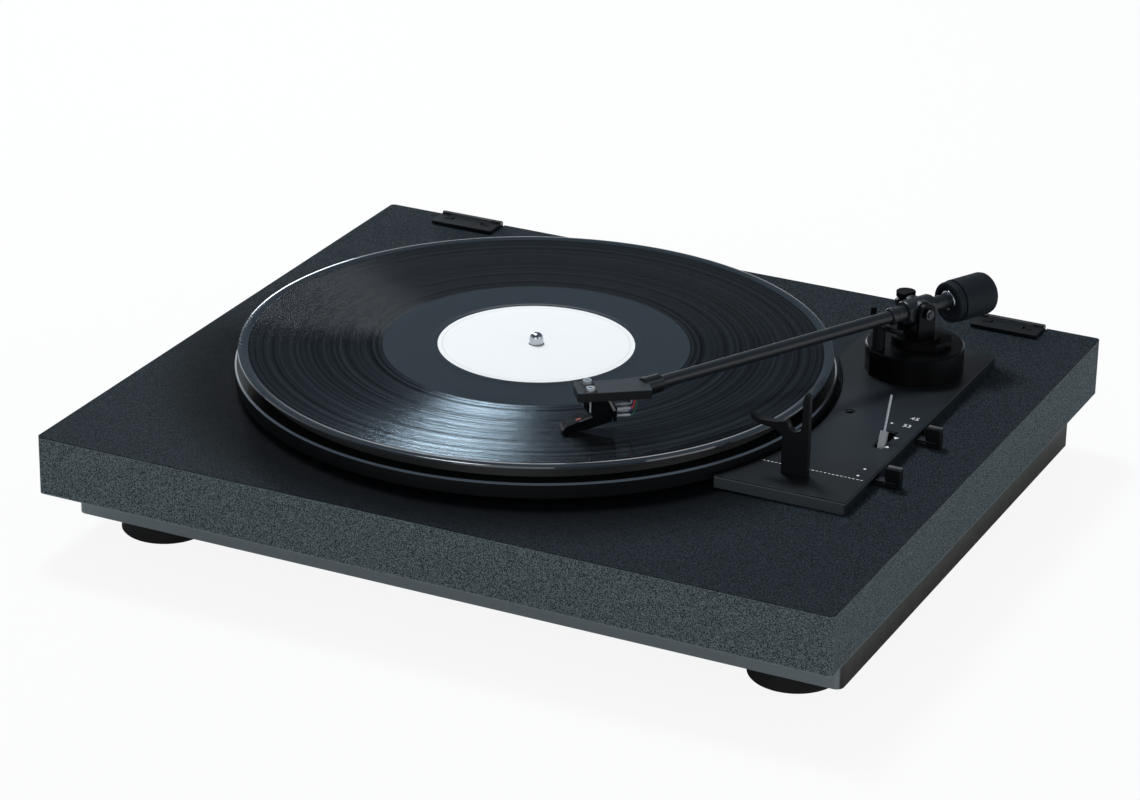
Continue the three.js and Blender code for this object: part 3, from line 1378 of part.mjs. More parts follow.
// Counterweight: a rubber-sheathed cylinder that hangs a little below the tube, with a ring, a
// groove and a round edge
function counterweight() {
  const bore = rearTubeRadius + clearance;
  const ringBack = weightFront - weightRingLength;
  const grooveBack = ringBack - weightGrooveLength;
  const edge = weightRadius * 0.28;
  const profile = [
    [weightBack, 0], [weightBack, weightRadius - edge],
    [weightBack + edge * 0.3, weightRadius - edge * 0.3],
    [weightBack + edge, weightRadius], [grooveBack, weightRadius],
    [grooveBack, weightRadius - weightGrooveDepth],
    [ringBack, weightRadius - weightGrooveDepth], [ringBack, weightRadius],
    [weightFront - 0.8, weightRadius],
    [weightFront, weightRadius - 0.8], [weightFront, weightRadius * 0.72],
    [weightFront - weightFaceRecess, weightRadius * 0.66],
    [weightFront - weightFaceRecess, 0],
  ];
  const hole = alongArm([[rearTubeBack - clearance, 0], [rearTubeBack - clearance, bore],
      [weightFront, bore], [weightFront, 0]], 18);
  return cut(alongArm(profile, 28).translate(0, 0, -weightDrop), hole);
}

// The headshell has its own frame: u runs forward from its back edge, v to the near side
const headshell = new THREE.Group();
headshell.position.set(headshellBackX, headshellBackY, 0);
headshell.rotation.z = headshellAngleDegrees * degrees;
tonearm.add(headshell);

function shellShape(inset) {
  const half = shellHalfWidth - inset;
  const shape = new THREE.Shape();
  shape.moveTo(inset, -half - shellFlare);
  shape.quadraticCurveTo(shellLength * 0.36, -half, shellLength * 0.5, -half);
  shape.lineTo(shellLength - inset - shellCorner, -half);
  shape.lineTo(shellLength - inset, -half + shellCorner);
  shape.lineTo(shellLength - inset, half - shellCorner);
  shape.lineTo(shellLength - inset - shellCorner, half);
  shape.lineTo(inset, half);
  return shape;
}

function headshellBody() {
  const bottom = shellTop - shellSkin;
  let shell = solid(slab(shellShape(0), bottom - shellSkirt, shellTop, 8));
  shell = shell.subtract(solid(slab(shellShape(shellSkirtWall), bottom - shellSkirt - overrun, bottom,
      8)));
  // The socket for the arm tube comes in at the headshell's offset angle
  const turn = -headshellAngleDegrees * degrees;
  const place = (geometry) => {
    const moved = geometry.clone();
    moved.translate(-headshellBackX, -headshellBackY, 0);
    return moved.rotateZ(turn);
  };
  const socketBack = headshellBackX - shellSocketLength;
  const outer = frontTubeRadius + clearance + shellSocketWall;
  const socketFront = tubeEnd + shellSkin;
  const boss = alongArm([[socketBack, 0], [socketBack, outer - 0.6], [socketBack + 0.6, outer],
      [socketFront, outer], [socketFront, 0]], 14);
  const bore = alongArm([[socketBack - overrun, 0], [socketBack - overrun, frontTubeRadius + clearance],
    [tubeEnd + clearance, frontTubeRadius + clearance], [tubeEnd + clearance, 0]], 20);
  shell = shell.add(solid(place(boss))).subtract(solid(place(bore)));
  for (const side of [-1, 1]) {
    shell = shell.subtract(solid(post(mountScrewU, side * mountScrewV, bottom - overrun,
        shellTop + overrun, mountScrewRadius + clearance, 10)));
  }
  return geometryOf(shell);
}

// An outline drawn in u and z, given a width across v
function sideSlab(points, halfWidth) {
  const shape = outline(points.map(([u, z]) => [u, -z]));
  const body = new THREE.ExtrudeGeometry(shape, { depth: halfWidth * 2, bevelEnabled: false });
  return body.rotateX(-Math.PI / 2).translate(0, -halfWidth, 0);
}

// Cartridge: a flange under the headshell, a body that narrows downwards and four pins at the back
function cartridge() {
  const z = topHeight;
  const flangeLow = cartridgeTop - cartridgeFlange;
  const flange = roundedRectangle(cartridgeBackU, cartridgeFrontU,
      -shellHalfWidth + shellSkirtWall + clearance,
    shellHalfWidth - shellSkirtWall - clearance, 1);
  const raised = (sizes) => sizes.map(([u, height]) => [u, z + height]);
  const rootHeight = flangeLow + cartridgeFlange / 3;
  const side = [[cartridgeFrontU, rootHeight], ...raised(cartridgeNoseSizes),
      ...raised(cartridgeRearSizes), [cartridgeBackU + cartridgeFlangeStep, rootHeight]];
  let body = solid(slab(flange, flangeLow, cartridgeTop, 3));
  body = body.add(solid(sideSlab(side, cartridgeHalfWidth)));
  for (const side of [-1, 1]) {
    body = body.subtract(solid(post(mountScrewU, side * mountScrewV, z + mountHoleBottom,
        cartridgeTop + overrun, mountScrewRadius + clearance, 10)));
    for (const height of cartridgePinHeights) {
      const pin = new THREE.CylinderGeometry(cartridgePinRadius, cartridgePinRadius, cartridgePinLength,
          8);
      pin.rotateZ(Math.PI / 2).translate(cartridgePinBack + cartridgePinLength / 2, side * cartridgePinV,
          z + height);
      body = body.add(solid(pin));
    }
  }
  return geometryOf(body);
}

// Stylus holder: the wedge that plugs under the cartridge, with its cantilever and tip
function stylus() {
  const z = topHeight;
  const side = stylusSideSizes.map(([u, height]) => [u, z + height]);
  let holder = solid(sideSlab(side, stylusHalfWidth));
  const slot = block(stylusSlotBack, stylusSlotFront, -stylusSlotHalfWidth, stylusSlotHalfWidth,
    z + stylusTipHeight - overrun, z + stylusSlotRoof);
  holder = holder.subtract(solid(slot));
  const from = new THREE.Vector3(cantileverRootU, 0, z + cantileverRootHeight);
  const to = new THREE.Vector3(stylusTipU + 0.4, 0, z + stylusTipHeight + 0.8);
  const rod = new THREE.CylinderGeometry(0.4, 0.5, from.distanceTo(to), 8);
  const turn = new THREE.Quaternion().setFromUnitVectors(new THREE.Vector3(0, 1, 0),
      to.clone().sub(from).normalize());
  rod.applyQuaternion(turn).translate((from.x + to.x) / 2, 0, (from.z + to.z) / 2);
  const tip = post(stylusTipU, 0, z + stylusTipHeight, z + stylusTipHeight + 1.2, 0.1, 8, 0.45);
  return geometryOf(holder.add(solid(rod)).add(solid(tip)));
}

function mountScrew(side) {
  const z1 = shellTop + clearance / 2;
  const v = side * mountScrewV;
  const shank = post(mountScrewU, v, topHeight + mountScrewBottom, z1 + 0.4, mountScrewRadius, 10);
  const head = post(mountScrewU, v, z1, z1 + 1.6, 2.2, 10, 1.9);
  return join(shank, head);
}

// Four lead-out wires from the pins up into the headshell
function cartridgeWire(side, low) {
  const height = topHeight + cartridgePinHeights[low ? 0 : 1];
  const back = cartridgePinBack - clearance;
  const top = shellTop - shellSkin - clearance * 2;
  const v = side * cartridgePinV;
  const lean = low ? wireLeanLow : wireLeanHigh;
  const points = [[back, v, height], [back - lean, v, height + 0.6],
      [back - lean - 0.8, v * 1.1, height + 4.5],
    [back - lean, v * 0.9, top - 3], [back - lean - 0.4, v * 0.8, top]];
  const path = new THREE.CatmullRomCurve3(points.map(([u, w, z]) => new THREE.Vector3(u, w, z)));
  const section = new THREE.Shape();
  section.absarc(0, 0, wireRadius, 0, Math.PI * 2);
  return new THREE.ExtrudeGeometry(section, { steps: 10, extrudePath: path, curveSegments: 3,
      bevelEnabled: false });
}

add('plinth', plinth(), texturedBlack);
add('bottom_tray', bottomTray(), trayBlack);
add('foot_front_left', foot(-footX, -footY), rubberBlack);
add('foot_front_right', foot(footX, -footY), rubberBlack);
add('foot_rear_left', foot(-footX, footY), rubberBlack);
add('foot_rear_right', foot(footX, footY), rubberBlack);
add('control_plate', controlPlate(), satinBlack);
add('arm_base', armBase(), mouldedBlack);
add('arm_rest', armRest(), satinBlack);
add('spindle', spindle(), brightSteel);
add('platter', platter(), castAluminium);
add('platter_mat', platterMat(), rubberBlack);
add('record_disc', recordDisc(), discBlack);
add('record_label', recordLabel(), labelPaper);
add('hub_gear', hubGear(), naturalNylon);
add('cam_gear', camGear(), naturalNylon);
add('return_slide', returnSlide(), zincSteel);
add('motor', motor(), zincSteel);
add('motor_pulley', motorPulley(), brass);
add('drive_belt', driveBelt(), rubberBlack);
add('circuit_board', circuitBoard(), boardGreen);
add('signal_socket_left', socket(socketPlaces[0].x, socketRadius, signalBore, signalReach), socketWhite);
add('signal_socket_right', socket(socketPlaces[1].x, socketRadius, signalBore, signalReach), socketRed);
add('power_inlet', powerInlet(), mouldedBlack);
add('line_switch', lineSwitch(), mouldedBlack);
add('hinge_left_base', hingeBase(-1), mouldedBlack);
add('hinge_left_pin', hingePin(-1), zincSteel);
add('hinge_left_tongue', hingeTongue(-1), satinBlack);
add('hinge_right_base', hingeBase(1), mouldedBlack);
add('hinge_right_pin', hingePin(1), zincSteel);
add('hinge_right_tongue', hingeTongue(1), satinBlack);
add('start_slider', sliderStrip(startKnobFront), zincSteel);
add('start_knob', sliderKnob(startKnobFront), mouldedBlack);
add('speed_slider', sliderStrip(speedKnobFront), zincSteel);
add('speed_knob', sliderKnob(speedKnobFront), mouldedBlack);
add('cue_bracket', cueBracket(), zincSteel);
add('cue_lever', cueLever(), leverGrey);
add('cue_lever_rod', cueLeverRod(), brightSteel);
add('lift_post', liftPost(), mouldedBlack);
add('lift_bar', liftBar(), rubberBlack);
add('arm_yoke', armYoke(), mouldedBlack, tonearm);
add('arm_shaft', armShaft(), brightSteel, tonearm);
add('arm_sector', armSector(), zincSteel, tonearm);
add('pivot_screw_near', pivotScrew(1), brightSteel, tonearm);
add('pivot_screw_far', pivotScrew(-1), brightSteel, tonearm);
add('arm_hub_block', armHubBlock(), mouldedBlack, tonearm);
add('arm_tube', armTube(), tubeBlack, tonearm);
add('arm_rear_tube', armRearTube(), tubeBlack, tonearm);
add('counterweight', counterweight(), rubberBlack, tonearm);
add('headshell', headshellBody(), mouldedBlack, headshell);
add('cartridge', cartridge(), mouldedBlack, headshell);
add('stylus', stylus(), mouldedBlack, headshell);
add('mount_screw_near', mountScrew(1), brightSteel, headshell);
add('mount_screw_far', mountScrew(-1), brightSteel, headshell);
add('wire_white', cartridgeWire(-1, false), wireWhite, headshell);
add('wire_blue', cartridgeWire(-1, true), wireBlue, headshell);
add('wire_red', cartridgeWire(1, false), wireRed, headshell);
add('wire_green', cartridgeWire(1, true), wireGreen, headshell);

export default part;
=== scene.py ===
# %% [markdown]
# This scene dresses an automatic record player. The CAD model is the frame: it says where every piece
# is and how it moves, and nothing here moves it. Here each piece gets its rounded edges, its fine
# details and a finish that reacts to light as the real surface does.

# %% Load the frame
import json
import math

import bmesh
import bpy
from mathutils import Matrix, Vector


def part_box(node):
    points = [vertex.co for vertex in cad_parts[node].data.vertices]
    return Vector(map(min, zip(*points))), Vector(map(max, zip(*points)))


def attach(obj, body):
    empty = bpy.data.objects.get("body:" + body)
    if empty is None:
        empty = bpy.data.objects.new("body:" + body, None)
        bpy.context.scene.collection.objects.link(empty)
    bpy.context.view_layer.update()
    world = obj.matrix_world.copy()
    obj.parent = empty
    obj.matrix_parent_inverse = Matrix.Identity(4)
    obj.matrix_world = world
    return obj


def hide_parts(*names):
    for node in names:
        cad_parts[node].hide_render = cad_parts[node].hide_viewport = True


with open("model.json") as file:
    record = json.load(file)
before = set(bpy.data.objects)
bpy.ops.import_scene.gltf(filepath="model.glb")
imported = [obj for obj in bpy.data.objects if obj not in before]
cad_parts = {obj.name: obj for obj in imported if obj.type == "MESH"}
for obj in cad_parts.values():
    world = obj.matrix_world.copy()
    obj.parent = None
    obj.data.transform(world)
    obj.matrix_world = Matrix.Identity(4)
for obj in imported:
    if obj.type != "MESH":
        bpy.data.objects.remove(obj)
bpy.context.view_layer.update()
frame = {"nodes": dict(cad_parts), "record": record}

mm = 0.001
nodes = frame["nodes"]
bpy.ops.object.select_all(action="DESELECT")

# %% [markdown]
# The camera comes first, because every later choice is judged through it. A long lens from far away
# keeps the sides of the plinth nearly parallel. The yaw, pitch and roll were fitted to the plinth's
# edges, so the axes of the camera are worked out from them and put in its matrix as columns.

# %% Camera at the photograph's angle
picture_width = 1140
focal_pixels = 3876
yaw, pitch, roll = math.radians(25.58), math.radians(23.54), math.radians(0.98)
camera_place = Vector((0.770, -1.628, 0.8386))

camera_data = bpy.data.cameras.new("camera")
camera_data.sensor_width = 36
camera_data.lens = focal_pixels * camera_data.sensor_width / picture_width
camera_data.clip_end = 50
camera = bpy.data.objects.new("camera", camera_data)
bpy.context.scene.collection.objects.link(camera)
level = Vector((math.cos(yaw), math.sin(yaw), 0))
ahead = Vector((-math.sin(yaw), math.cos(yaw), 0))
forward = ahead * math.cos(pitch) - Vector((0, 0, math.sin(pitch)))
upright = level.cross(forward)
right = level * math.cos(roll) + upright * math.sin(roll)
up = upright * math.cos(roll) - level * math.sin(roll)
turned = Matrix((right, up, -forward)).transposed().to_4x4()
camera.matrix_world = Matrix.Translation(camera_place) @ turned
bpy.context.scene.camera = camera
bpy.context.scene.view_settings.view_transform = "Standard"
print("lens", round(camera_data.lens, 1), "mm")

# %% [markdown]
# A finish is a small network of nodes. Written as node calls, even a short sum takes many lines, so a
# socket is wrapped in a class that understands plus, minus and times. Each use adds its Math node.

# %% A wire that can be used in sums
class Wire:
    """The output of a node, usable in a sum."""

    def __init__(self, bench, socket):
        self.bench = bench
        self.socket = socket

    def __add__(self, other):
        return self.bench.math("ADD", self, other)

    def __sub__(self, other):
        return self.bench.math("SUBTRACT", self, other)

    def __rsub__(self, other):
        return self.bench.math("SUBTRACT", other, self)

    def __mul__(self, other):
        return self.bench.math("MULTIPLY", self, other)

    def __truediv__(self, other):
        return self.bench.math("DIVIDE", self, other)

    __radd__ = __add__
    __rmul__ = __mul__


# %% [markdown]
# A bench holds one material while it is made. One of its methods adds any kind of node, and the
# others are short names for the nodes that nearly every finish needs.

# %% A workbench for finishes
class Bench:
    """One material and the nodes that make its finish."""

    def __init__(self, name, kind="materials"):
        self.material = getattr(bpy.data, kind).new(name)
        self.material.use_nodes = True
        self.tree = self.material.node_tree
        self.tree.nodes.clear()
        self.place = self.node("ShaderNodeTexCoord", output="Object")

    def plug(self, node, slot, value):
        """Link a wire to an input of the node, or set the input to a plain value."""
        if isinstance(value, Wire):
            self.tree.links.new(value.socket, node.inputs[slot])
        elif value is not None:
            node.inputs[slot].default_value = value

    def node(self, kind, settings=None, *values, output=0, **named):
        """A new node with its settings and inputs, and the wire of one of its outputs."""
        made = self.tree.nodes.new(kind)
        for key, value in (settings or {}).items():
            setattr(made, key, value)
        for slot, value in list(enumerate(values)) + list(named.items()):
            self.plug(made, slot, value)
        return Wire(self, made.outputs[output]) if made.outputs else None

    def blend(self, mask, first, second):
        """A colour that goes from the first to the second as the mask goes from 0 to 1."""
        made = self.node("ShaderNodeMix", {"data_type": "RGBA"}, output=2)
        for slot, value in ((0, mask), (6, first), (7, second)):
            self.plug(made.socket.node, slot, value)
        return made

    def math(self, operation, first, second=None):
        """One sum, such as SQRT of the first or MAXIMUM of the two."""
        return self.node("ShaderNodeMath", {"operation": operation}, first, second)

    def noise(self, size, detail=3.0):
        """Soft noise whose blotches are about this size in metres."""
        return self.node("ShaderNodeTexNoise", Vector=self.place, Scale=1 / size, Detail=detail)

    def step(self, value, low, high):
        """0 below low, 1 above high, and smooth between."""
        settings = {"interpolation_type": "SMOOTHSTEP"}
        return self.node("ShaderNodeMapRange", settings, value, low, high, 0.0, 1.0)

    def axes(self):
        """The three object coordinates."""
        return [self.node("ShaderNodeSeparateXYZ", None, self.place, output=axis) for axis in range(3)]

    def bump(self, height, depth):
        """A normal for a height from 0 to 1 that stands for this depth in metres."""
        return self.node("ShaderNodeBump", None, Strength=1.0, Distance=depth, Height=height)

    def close(self, colour, roughness, normal=None, **fixed):
        """Join the finish to the surface. Further values go to the shader's sockets by name."""
        named = {key.replace("_", " "): value for key, value in fixed.items()}
        named.update({"Base Color": colour, "Roughness": roughness})
        shader = self.node("ShaderNodeBsdfPrincipled", None, **named)
        self.plug(shader.socket.node, "Normal", normal)
        self.node("ShaderNodeOutputMaterial", None, Surface=shader)
        return self.material


def shade(colour, factor):
    """The same colour, lighter or darker."""
    return tuple(channel * factor for channel in colour[:3]) + (1,)


# %% [markdown]
# Most of the player is black, in a dozen ways: a grained wrap, satin paint, moulded plastic, rubber.
# What tells them apart is grain size, gloss and how even they are. So one recipe makes the plain
# finishes, with a mottled colour, a roughness that wanders and a fine grain raised by a bump. In the
# table each has a name, a colour, its roughness, and the size and depth of its grain in millimetres.
# Where they aren't the usual ones, its shine and its share of metal follow.

# %% The recipe for a plain finish
def plain_finish(name, colour, roughness, grain, depth, shine=0.5, metal=0.0):
    """A finish that is the same all over, but for its mottling and its grain."""
    mottling, wander = 0.15, 0.08
    bench = Bench(name)
    patches = bench.noise(14 * mm)
    colours = bench.blend(patches, shade(colour, 1 - mottling), shade(colour, 1 + mottling))
    smear = bench.noise(5 * mm, 2.0)
    rough = roughness - wander / 2 + smear * wander
    normal = bench.bump(bench.noise(grain * mm, 2.0), depth * mm)
    return bench.close(colours, rough, normal, Specular_IOR_Level=shine, Metallic=metal)


plain_table = {
    "foot_rubber": ("foot rubber", (0.009, 0.009, 0.010), 0.75, 0.5, 0.04, 0.3),
    "moulded_black": ("moulded black", (0.0035, 0.0042, 0.005), 0.42, 0.4, 0.015, 0.2),
    "mat_rubber": ("mat rubber", (0.012, 0.012, 0.012), 0.8, 0.6, 0.05, 0.25),
    "nylon": ("gear nylon", (0.68, 0.66, 0.60), 0.5, 0.6, 0.01),
    "lever_grey": ("lever grey", (0.36, 0.39, 0.41), 0.4, 0.4, 0.015),
    "board_green": ("board lacquer", (0.02, 0.09, 0.035), 0.3, 1.5, 0.02),
    "socket_white": ("socket white", (0.72, 0.72, 0.70), 0.4, 0.6, 0.01),
    "socket_red": ("socket red", (0.42, 0.02, 0.02), 0.4, 0.6, 0.01),
    "arm_tube_black": ("tube black", (0.011, 0.014, 0.017), 0.38, 0.3, 0.006, 0.5),
    "weight_black": ("weight sleeve", (0.010, 0.0135, 0.018), 0.6, 0.35, 0.03, 0.15),
    "wire_white": ("wire white", (0.34, 0.33, 0.38), 0.4, 0.3, 0.01),
    "wire_blue": ("wire blue", (0.02, 0.04, 0.18), 0.4, 0.3, 0.01),
    "wire_red": ("wire red", (0.55, 0.015, 0.03), 0.4, 0.3, 0.01),
    "wire_green": ("wire green", (0.01, 0.09, 0.04), 0.4, 0.3, 0.01),
    "pulley_brass": ("pulley brass", (0.62, 0.43, 0.16), 0.3, 0.3, 0.006, 0.5, 1.0),
    "zinc_steel": ("zinc steel", (0.50, 0.50, 0.48), 0.38, 0.5, 0.01, 0.5, 1.0),
    "bright_steel": ("bright steel", (0.50, 0.52, 0.55), 0.22, 0.4, 0.004, 0.5, 1.0),
    "rod_nickel": ("rod nickel", (0.42, 0.46, 0.50), 0.35, 0.3, 0.006, 0.5, 0.3),
    "dark_steel": ("blackened steel", (0.07, 0.075, 0.08), 0.35, 0.4, 0.006, 0.5, 1.0),
    "gloss_black": ("gloss black", (0.0018, 0.0024, 0.003), 0.2, 0.4, 0.004, 0.25),
    "turret_black": ("turret black", (0.0018, 0.002, 0.0024), 0.33, 0.4, 0.008, 0.12),
    "white_print": ("white print", (0.80, 0.82, 0.84), 0.6, 0.3, 0.01),
    # Painted highlight: a pale colour for the bars that stand for light along the cartridge's edges.
    "painted_glint": ("painted edge glint", (0.13, 0.14, 0.145), 0.45, 0.3, 0.01),
    "signal_red": ("signal red", (0.34, 0.045, 0.02), 0.4, 0.3, 0.01),
}
finishes = {slot: plain_finish(*values) for slot, values in plain_table.items()}
print("plain finishes", len(finishes))

# %% [markdown]
# The plinth is wrapped in a grained black film. Its grain is the first thing that the eye finds on
# the front: cells of about a millimetre, and a grit half that size that also sets the colour. The
# upright faces are given a lighter colour as painted light, where the lamps fall on them, and a pale
# line of painted highlight runs along their upper and lower edges. Close in front of the platter the
# top is painted nearly black, a painted shadow of the platter. Several finishes depend on how far a
# point lies from the spindle, so a helper works that out.

# %% The plinth's grained wrap
plinth_low, plinth_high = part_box("plinth")
spindle_x, spindle_y = -27.56 * mm, -2.45 * mm
# How far from the spindle the painted shadow of the platter reaches.
painted_shadow_from, painted_shadow_to = 160 * mm, 208 * mm


def around_spindle(bench, x, y):
    """Where a point lies from the spindle: along x, along y, and the distance."""
    from_x = x - spindle_x
    from_y = y - spindle_y
    return from_x, from_y, bench.math("SQRT", from_x * from_x + from_y * from_y)


bench = Bench("plinth wrap")
x, y, z = bench.axes()
cells = bench.node("ShaderNodeTexVoronoi", None, bench.place, Scale=1 / (1.1 * mm), Randomness=1.0)
grit = bench.step(bench.noise(0.55 * mm, 2.0), 0.34, 0.70)
height = cells * 0.5 + grit * 0.7
upright_face = 1 - bench.step(z, plinth_high[2] - 0.9 * mm, plinth_high[2] - 0.3 * mm)
top_colour = bench.blend(grit, (0.0006, 0.0012, 0.0020, 1), (0.040, 0.054, 0.066, 1))
# The upright faces get a lighter colour than the top: painted light where the lamps fall on them.
upright_lit_colour = bench.blend(grit, (0.016, 0.022, 0.027, 1), (0.150, 0.188, 0.202, 1))
radius = around_spindle(bench, x, y)[2]
in_front = 1 - bench.step(y, -40 * mm, 60 * mm)
# Painted shadow: the top just in front of the platter is darkened nearly to black.
platter_shadow_mask = (1 - bench.step(radius, painted_shadow_from, painted_shadow_to)) * in_front
top_colour = bench.blend(platter_shadow_mask * 0.92, top_colour, (0.0005, 0.001, 0.002, 1))
wrap_colour = bench.blend(upright_face, top_colour, upright_lit_colour)
# Painted highlight: a pale line along the upper and lower edges of the upright faces.
upper_highlight_line = upright_face * bench.step(z, plinth_high[2] - 1.0 * mm, plinth_high[2] - 0.6 * mm)
lower_highlight_line = 1 - bench.step(z, plinth_low[2] + 0.3 * mm, plinth_low[2] + 0.7 * mm)
wrap_colour = bench.blend((upper_highlight_line + lower_highlight_line) * 0.6, wrap_colour, (0.20, 0.24, 0.25, 1))
wrap_rough = 0.62 + bench.noise(3 * mm) * 0.2
grain = bench.bump(height, 0.12 * mm)
finishes["plinth_black"] = bench.close(wrap_colour, wrap_rough, grain, Specular_IOR_Level=0.06)
print("plinth from", round(plinth_low[2] / mm, 1), "to", round(plinth_high[2] / mm, 1), "mm")

# %% [markdown]
# The tray under the plinth is smooth moulded plastic. Its front is painted a mid grey as painted
# light, where the front lamp falls on it, and its sides are browner and darker toward the floor. The
# tray's box includes the flange that is hidden in the plinth, so its front face is found from the
# plinth's.

# %% The moulded tray
tray_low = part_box("bottom_tray")[0]
tray_setback = 26.35 * mm
tray_front = plinth_low[1] + tray_setback
bench = Bench("tray moulding")
x, y, z = bench.axes()
# Painted light: the front face is given a lighter grey than the sides.
lit_front_face = 1 - bench.step(y, tray_front + 0.6 * mm, tray_front + 1.6 * mm)
upper_part = bench.step(z, tray_low[2] + 2 * mm, plinth_low[2])
side_skin = bench.blend(upper_part, (0.026, 0.024, 0.022, 1), (0.062, 0.066, 0.062, 1))
tray_colour = bench.blend(lit_front_face, side_skin, (0.165, 0.195, 0.210, 1))
tray_rough = 0.5 + bench.noise(6 * mm) * 0.2
tray_bump = bench.bump(bench.noise(0.5 * mm, 2.0), 0.03 * mm)
finishes["tray_brown_black"] = bench.close(tray_colour, tray_rough, tray_bump, Specular_IOR_Level=0.25)
print("tray front at", round(tray_front / mm, 1), "mm")

# %% [markdown]
# The control plate is sprayed steel. The paint is smoother and more even than plastic, with a faint
# orange peel and a wide soft sheen. Its front and back are darkened as painted shade, so it is
# lightest in its middle. The folded edges are painted lighter as painted light, with a painted
# highlight where the fold starts, but the right one is painted dark as painted shade.

# %% The control plate's satin paint
bench = Bench("plate satin")
peel = bench.noise(1.6 * mm, 2.0)
fine = bench.noise(0.25 * mm, 2.0)
patches = bench.noise(30 * mm)
plate_colour = bench.blend(patches, (0.0090, 0.0130, 0.0180, 1), (0.0170, 0.0220, 0.0290, 1))
x, y, z = bench.axes()
plate_low, plate_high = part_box("control_plate")
# Painted shade: the front and the back of the plate are darkened.
front_painted_shade = 1 - bench.step(y, plate_low[1] + 20 * mm, plate_low[1] + 62 * mm)
back_painted_shade = bench.step(y, plate_high[1] - 95 * mm, plate_high[1] - 50 * mm)
plate_colour = bench.blend(front_painted_shade * 0.75, plate_colour, (0.0045, 0.0055, 0.0060, 1))
plate_colour = bench.blend(back_painted_shade * 0.85, plate_colour, (0.0025, 0.0035, 0.0045, 1))
# Painted light and shade: the folded faces are lighter, the right one dark.
folded = 1 - bench.step(z, plate_high[2] - 1.0 * mm, plate_high[2] - 0.4 * mm)
right_face = bench.step(x, plate_high[0] - 0.9 * mm, plate_high[0] - 0.3 * mm)
folded_colour = bench.blend(right_face, (0.045, 0.056, 0.063, 1), (0.010, 0.013, 0.016, 1))
# Painted highlight: a bright line where the fold starts.
fold_highlight = bench.step(z, plate_high[2] - 1.4 * mm, plate_high[2] - 1.1 * mm)
folded_colour = bench.blend(fold_highlight * 0.75, folded_colour, (0.150, 0.170, 0.180, 1))
plate_colour = bench.blend(folded, plate_colour, folded_colour)
plate_rough = 0.36 + bench.noise(20 * mm) * 0.1
plate_bump = bench.bump(peel + fine * 0.4, 0.01 * mm)
finishes["plate_black"] = bench.close(plate_colour, plate_rough, plate_bump, Specular_IOR_Level=0.3)
print("plate top at", round(plate_high[2] / mm, 1), "mm")

# %% [markdown]
# A pressed record shines in two fans that follow the light, because every groove is a tiny round
# mirror. Its grooves are finer than a pixel, so a bump would turn to noise. The slope of the groove
# walls is written straight into the normal instead: it swings in and out along the radius only, and
# the fans appear by themselves. A small steady lean shifts them to where the photograph has them.
# Quiet and loud passages make the faint rings. A clear coat stands for what stays flat, and mirrors
# the room. It is full on the rim and the run-out, and thinner where the grooves are cut.

# %% The record's grooved vinyl
groove_pitch = 0.23 * mm
groove_slope, groove_lean = 0.28, 0.15
innermost, outermost = 78.0, 146.0
track_gaps = (98.6, 120.7)
gap_half_width = 0.75
bench = Bench("vinyl")
x, y, z = bench.axes()
from_x, from_y, radius = around_spindle(bench, x, y)
in_mm = radius * 1000
inside = bench.step(in_mm, innermost - 0.4, innermost + 0.2)
outside = bench.step(in_mm, outermost - 0.6, outermost + 0.2)
tracks = inside * (1 - outside)
cut = tracks
for gap in track_gaps:
    away = bench.math("ABSOLUTE", in_mm - gap)
    cut = cut * (0.4 + bench.step(away, gap_half_width * 0.3, gap_half_width) * 0.6)
ring_place = bench.node("ShaderNodeCombineXYZ", None, in_mm * 0.35, 0.0, 0.0)
loudness = bench.node("ShaderNodeTexNoise", Vector=ring_place, Scale=1.0, Detail=4.0, Roughness=0.6)
swing = bench.math("SINE", radius * (2 * math.pi / groove_pitch))
slope = (swing * groove_slope + groove_lean) * cut * (0.7 + loudness * 0.6)
outward = bench.node("ShaderNodeCombineXYZ", None, from_x / radius * slope, from_y / radius * slope, 0.0)
to_world = {"vector_type": "VECTOR", "convert_from": "OBJECT", "convert_to": "WORLD"}
in_world = bench.node("ShaderNodeVectorTransform", to_world, outward)
facing = bench.node("ShaderNodeNewGeometry", output="Normal")
leaning = bench.node("ShaderNodeVectorMath", {"operation": "ADD"}, facing, in_world)
groove_normal = bench.node("ShaderNodeVectorMath", {"operation": "NORMALIZE"}, leaning)
groove_tone = bench.step(loudness, 0.32, 0.68)
groove_colour = bench.blend(groove_tone, (0.014, 0.018, 0.022, 1), (0.095, 0.115, 0.130, 1))
vinyl_colour = bench.blend(tracks, (0.022, 0.029, 0.036, 1), groove_colour)
vinyl_rough = 0.15 + loudness * 0.1
mirror = 1 - cut * tracks * (0.62 - groove_tone * 0.40)
finishes["disc_vinyl"] = bench.close(
    vinyl_colour, vinyl_rough, groove_normal, Specular_IOR_Level=0.12, Metallic=tracks * 0.9,
    Specular_Tint=(0.1, 0.1, 0.1, 1), Coat_Weight=mirror, Coat_Roughness=0.05)
print("grooves from", innermost, "to", outermost, "mm")

# %% [markdown]
# The label is bare white paper with a fine tooth, a slightly yellowed edge and the shallow ring that
# the press leaves in it.

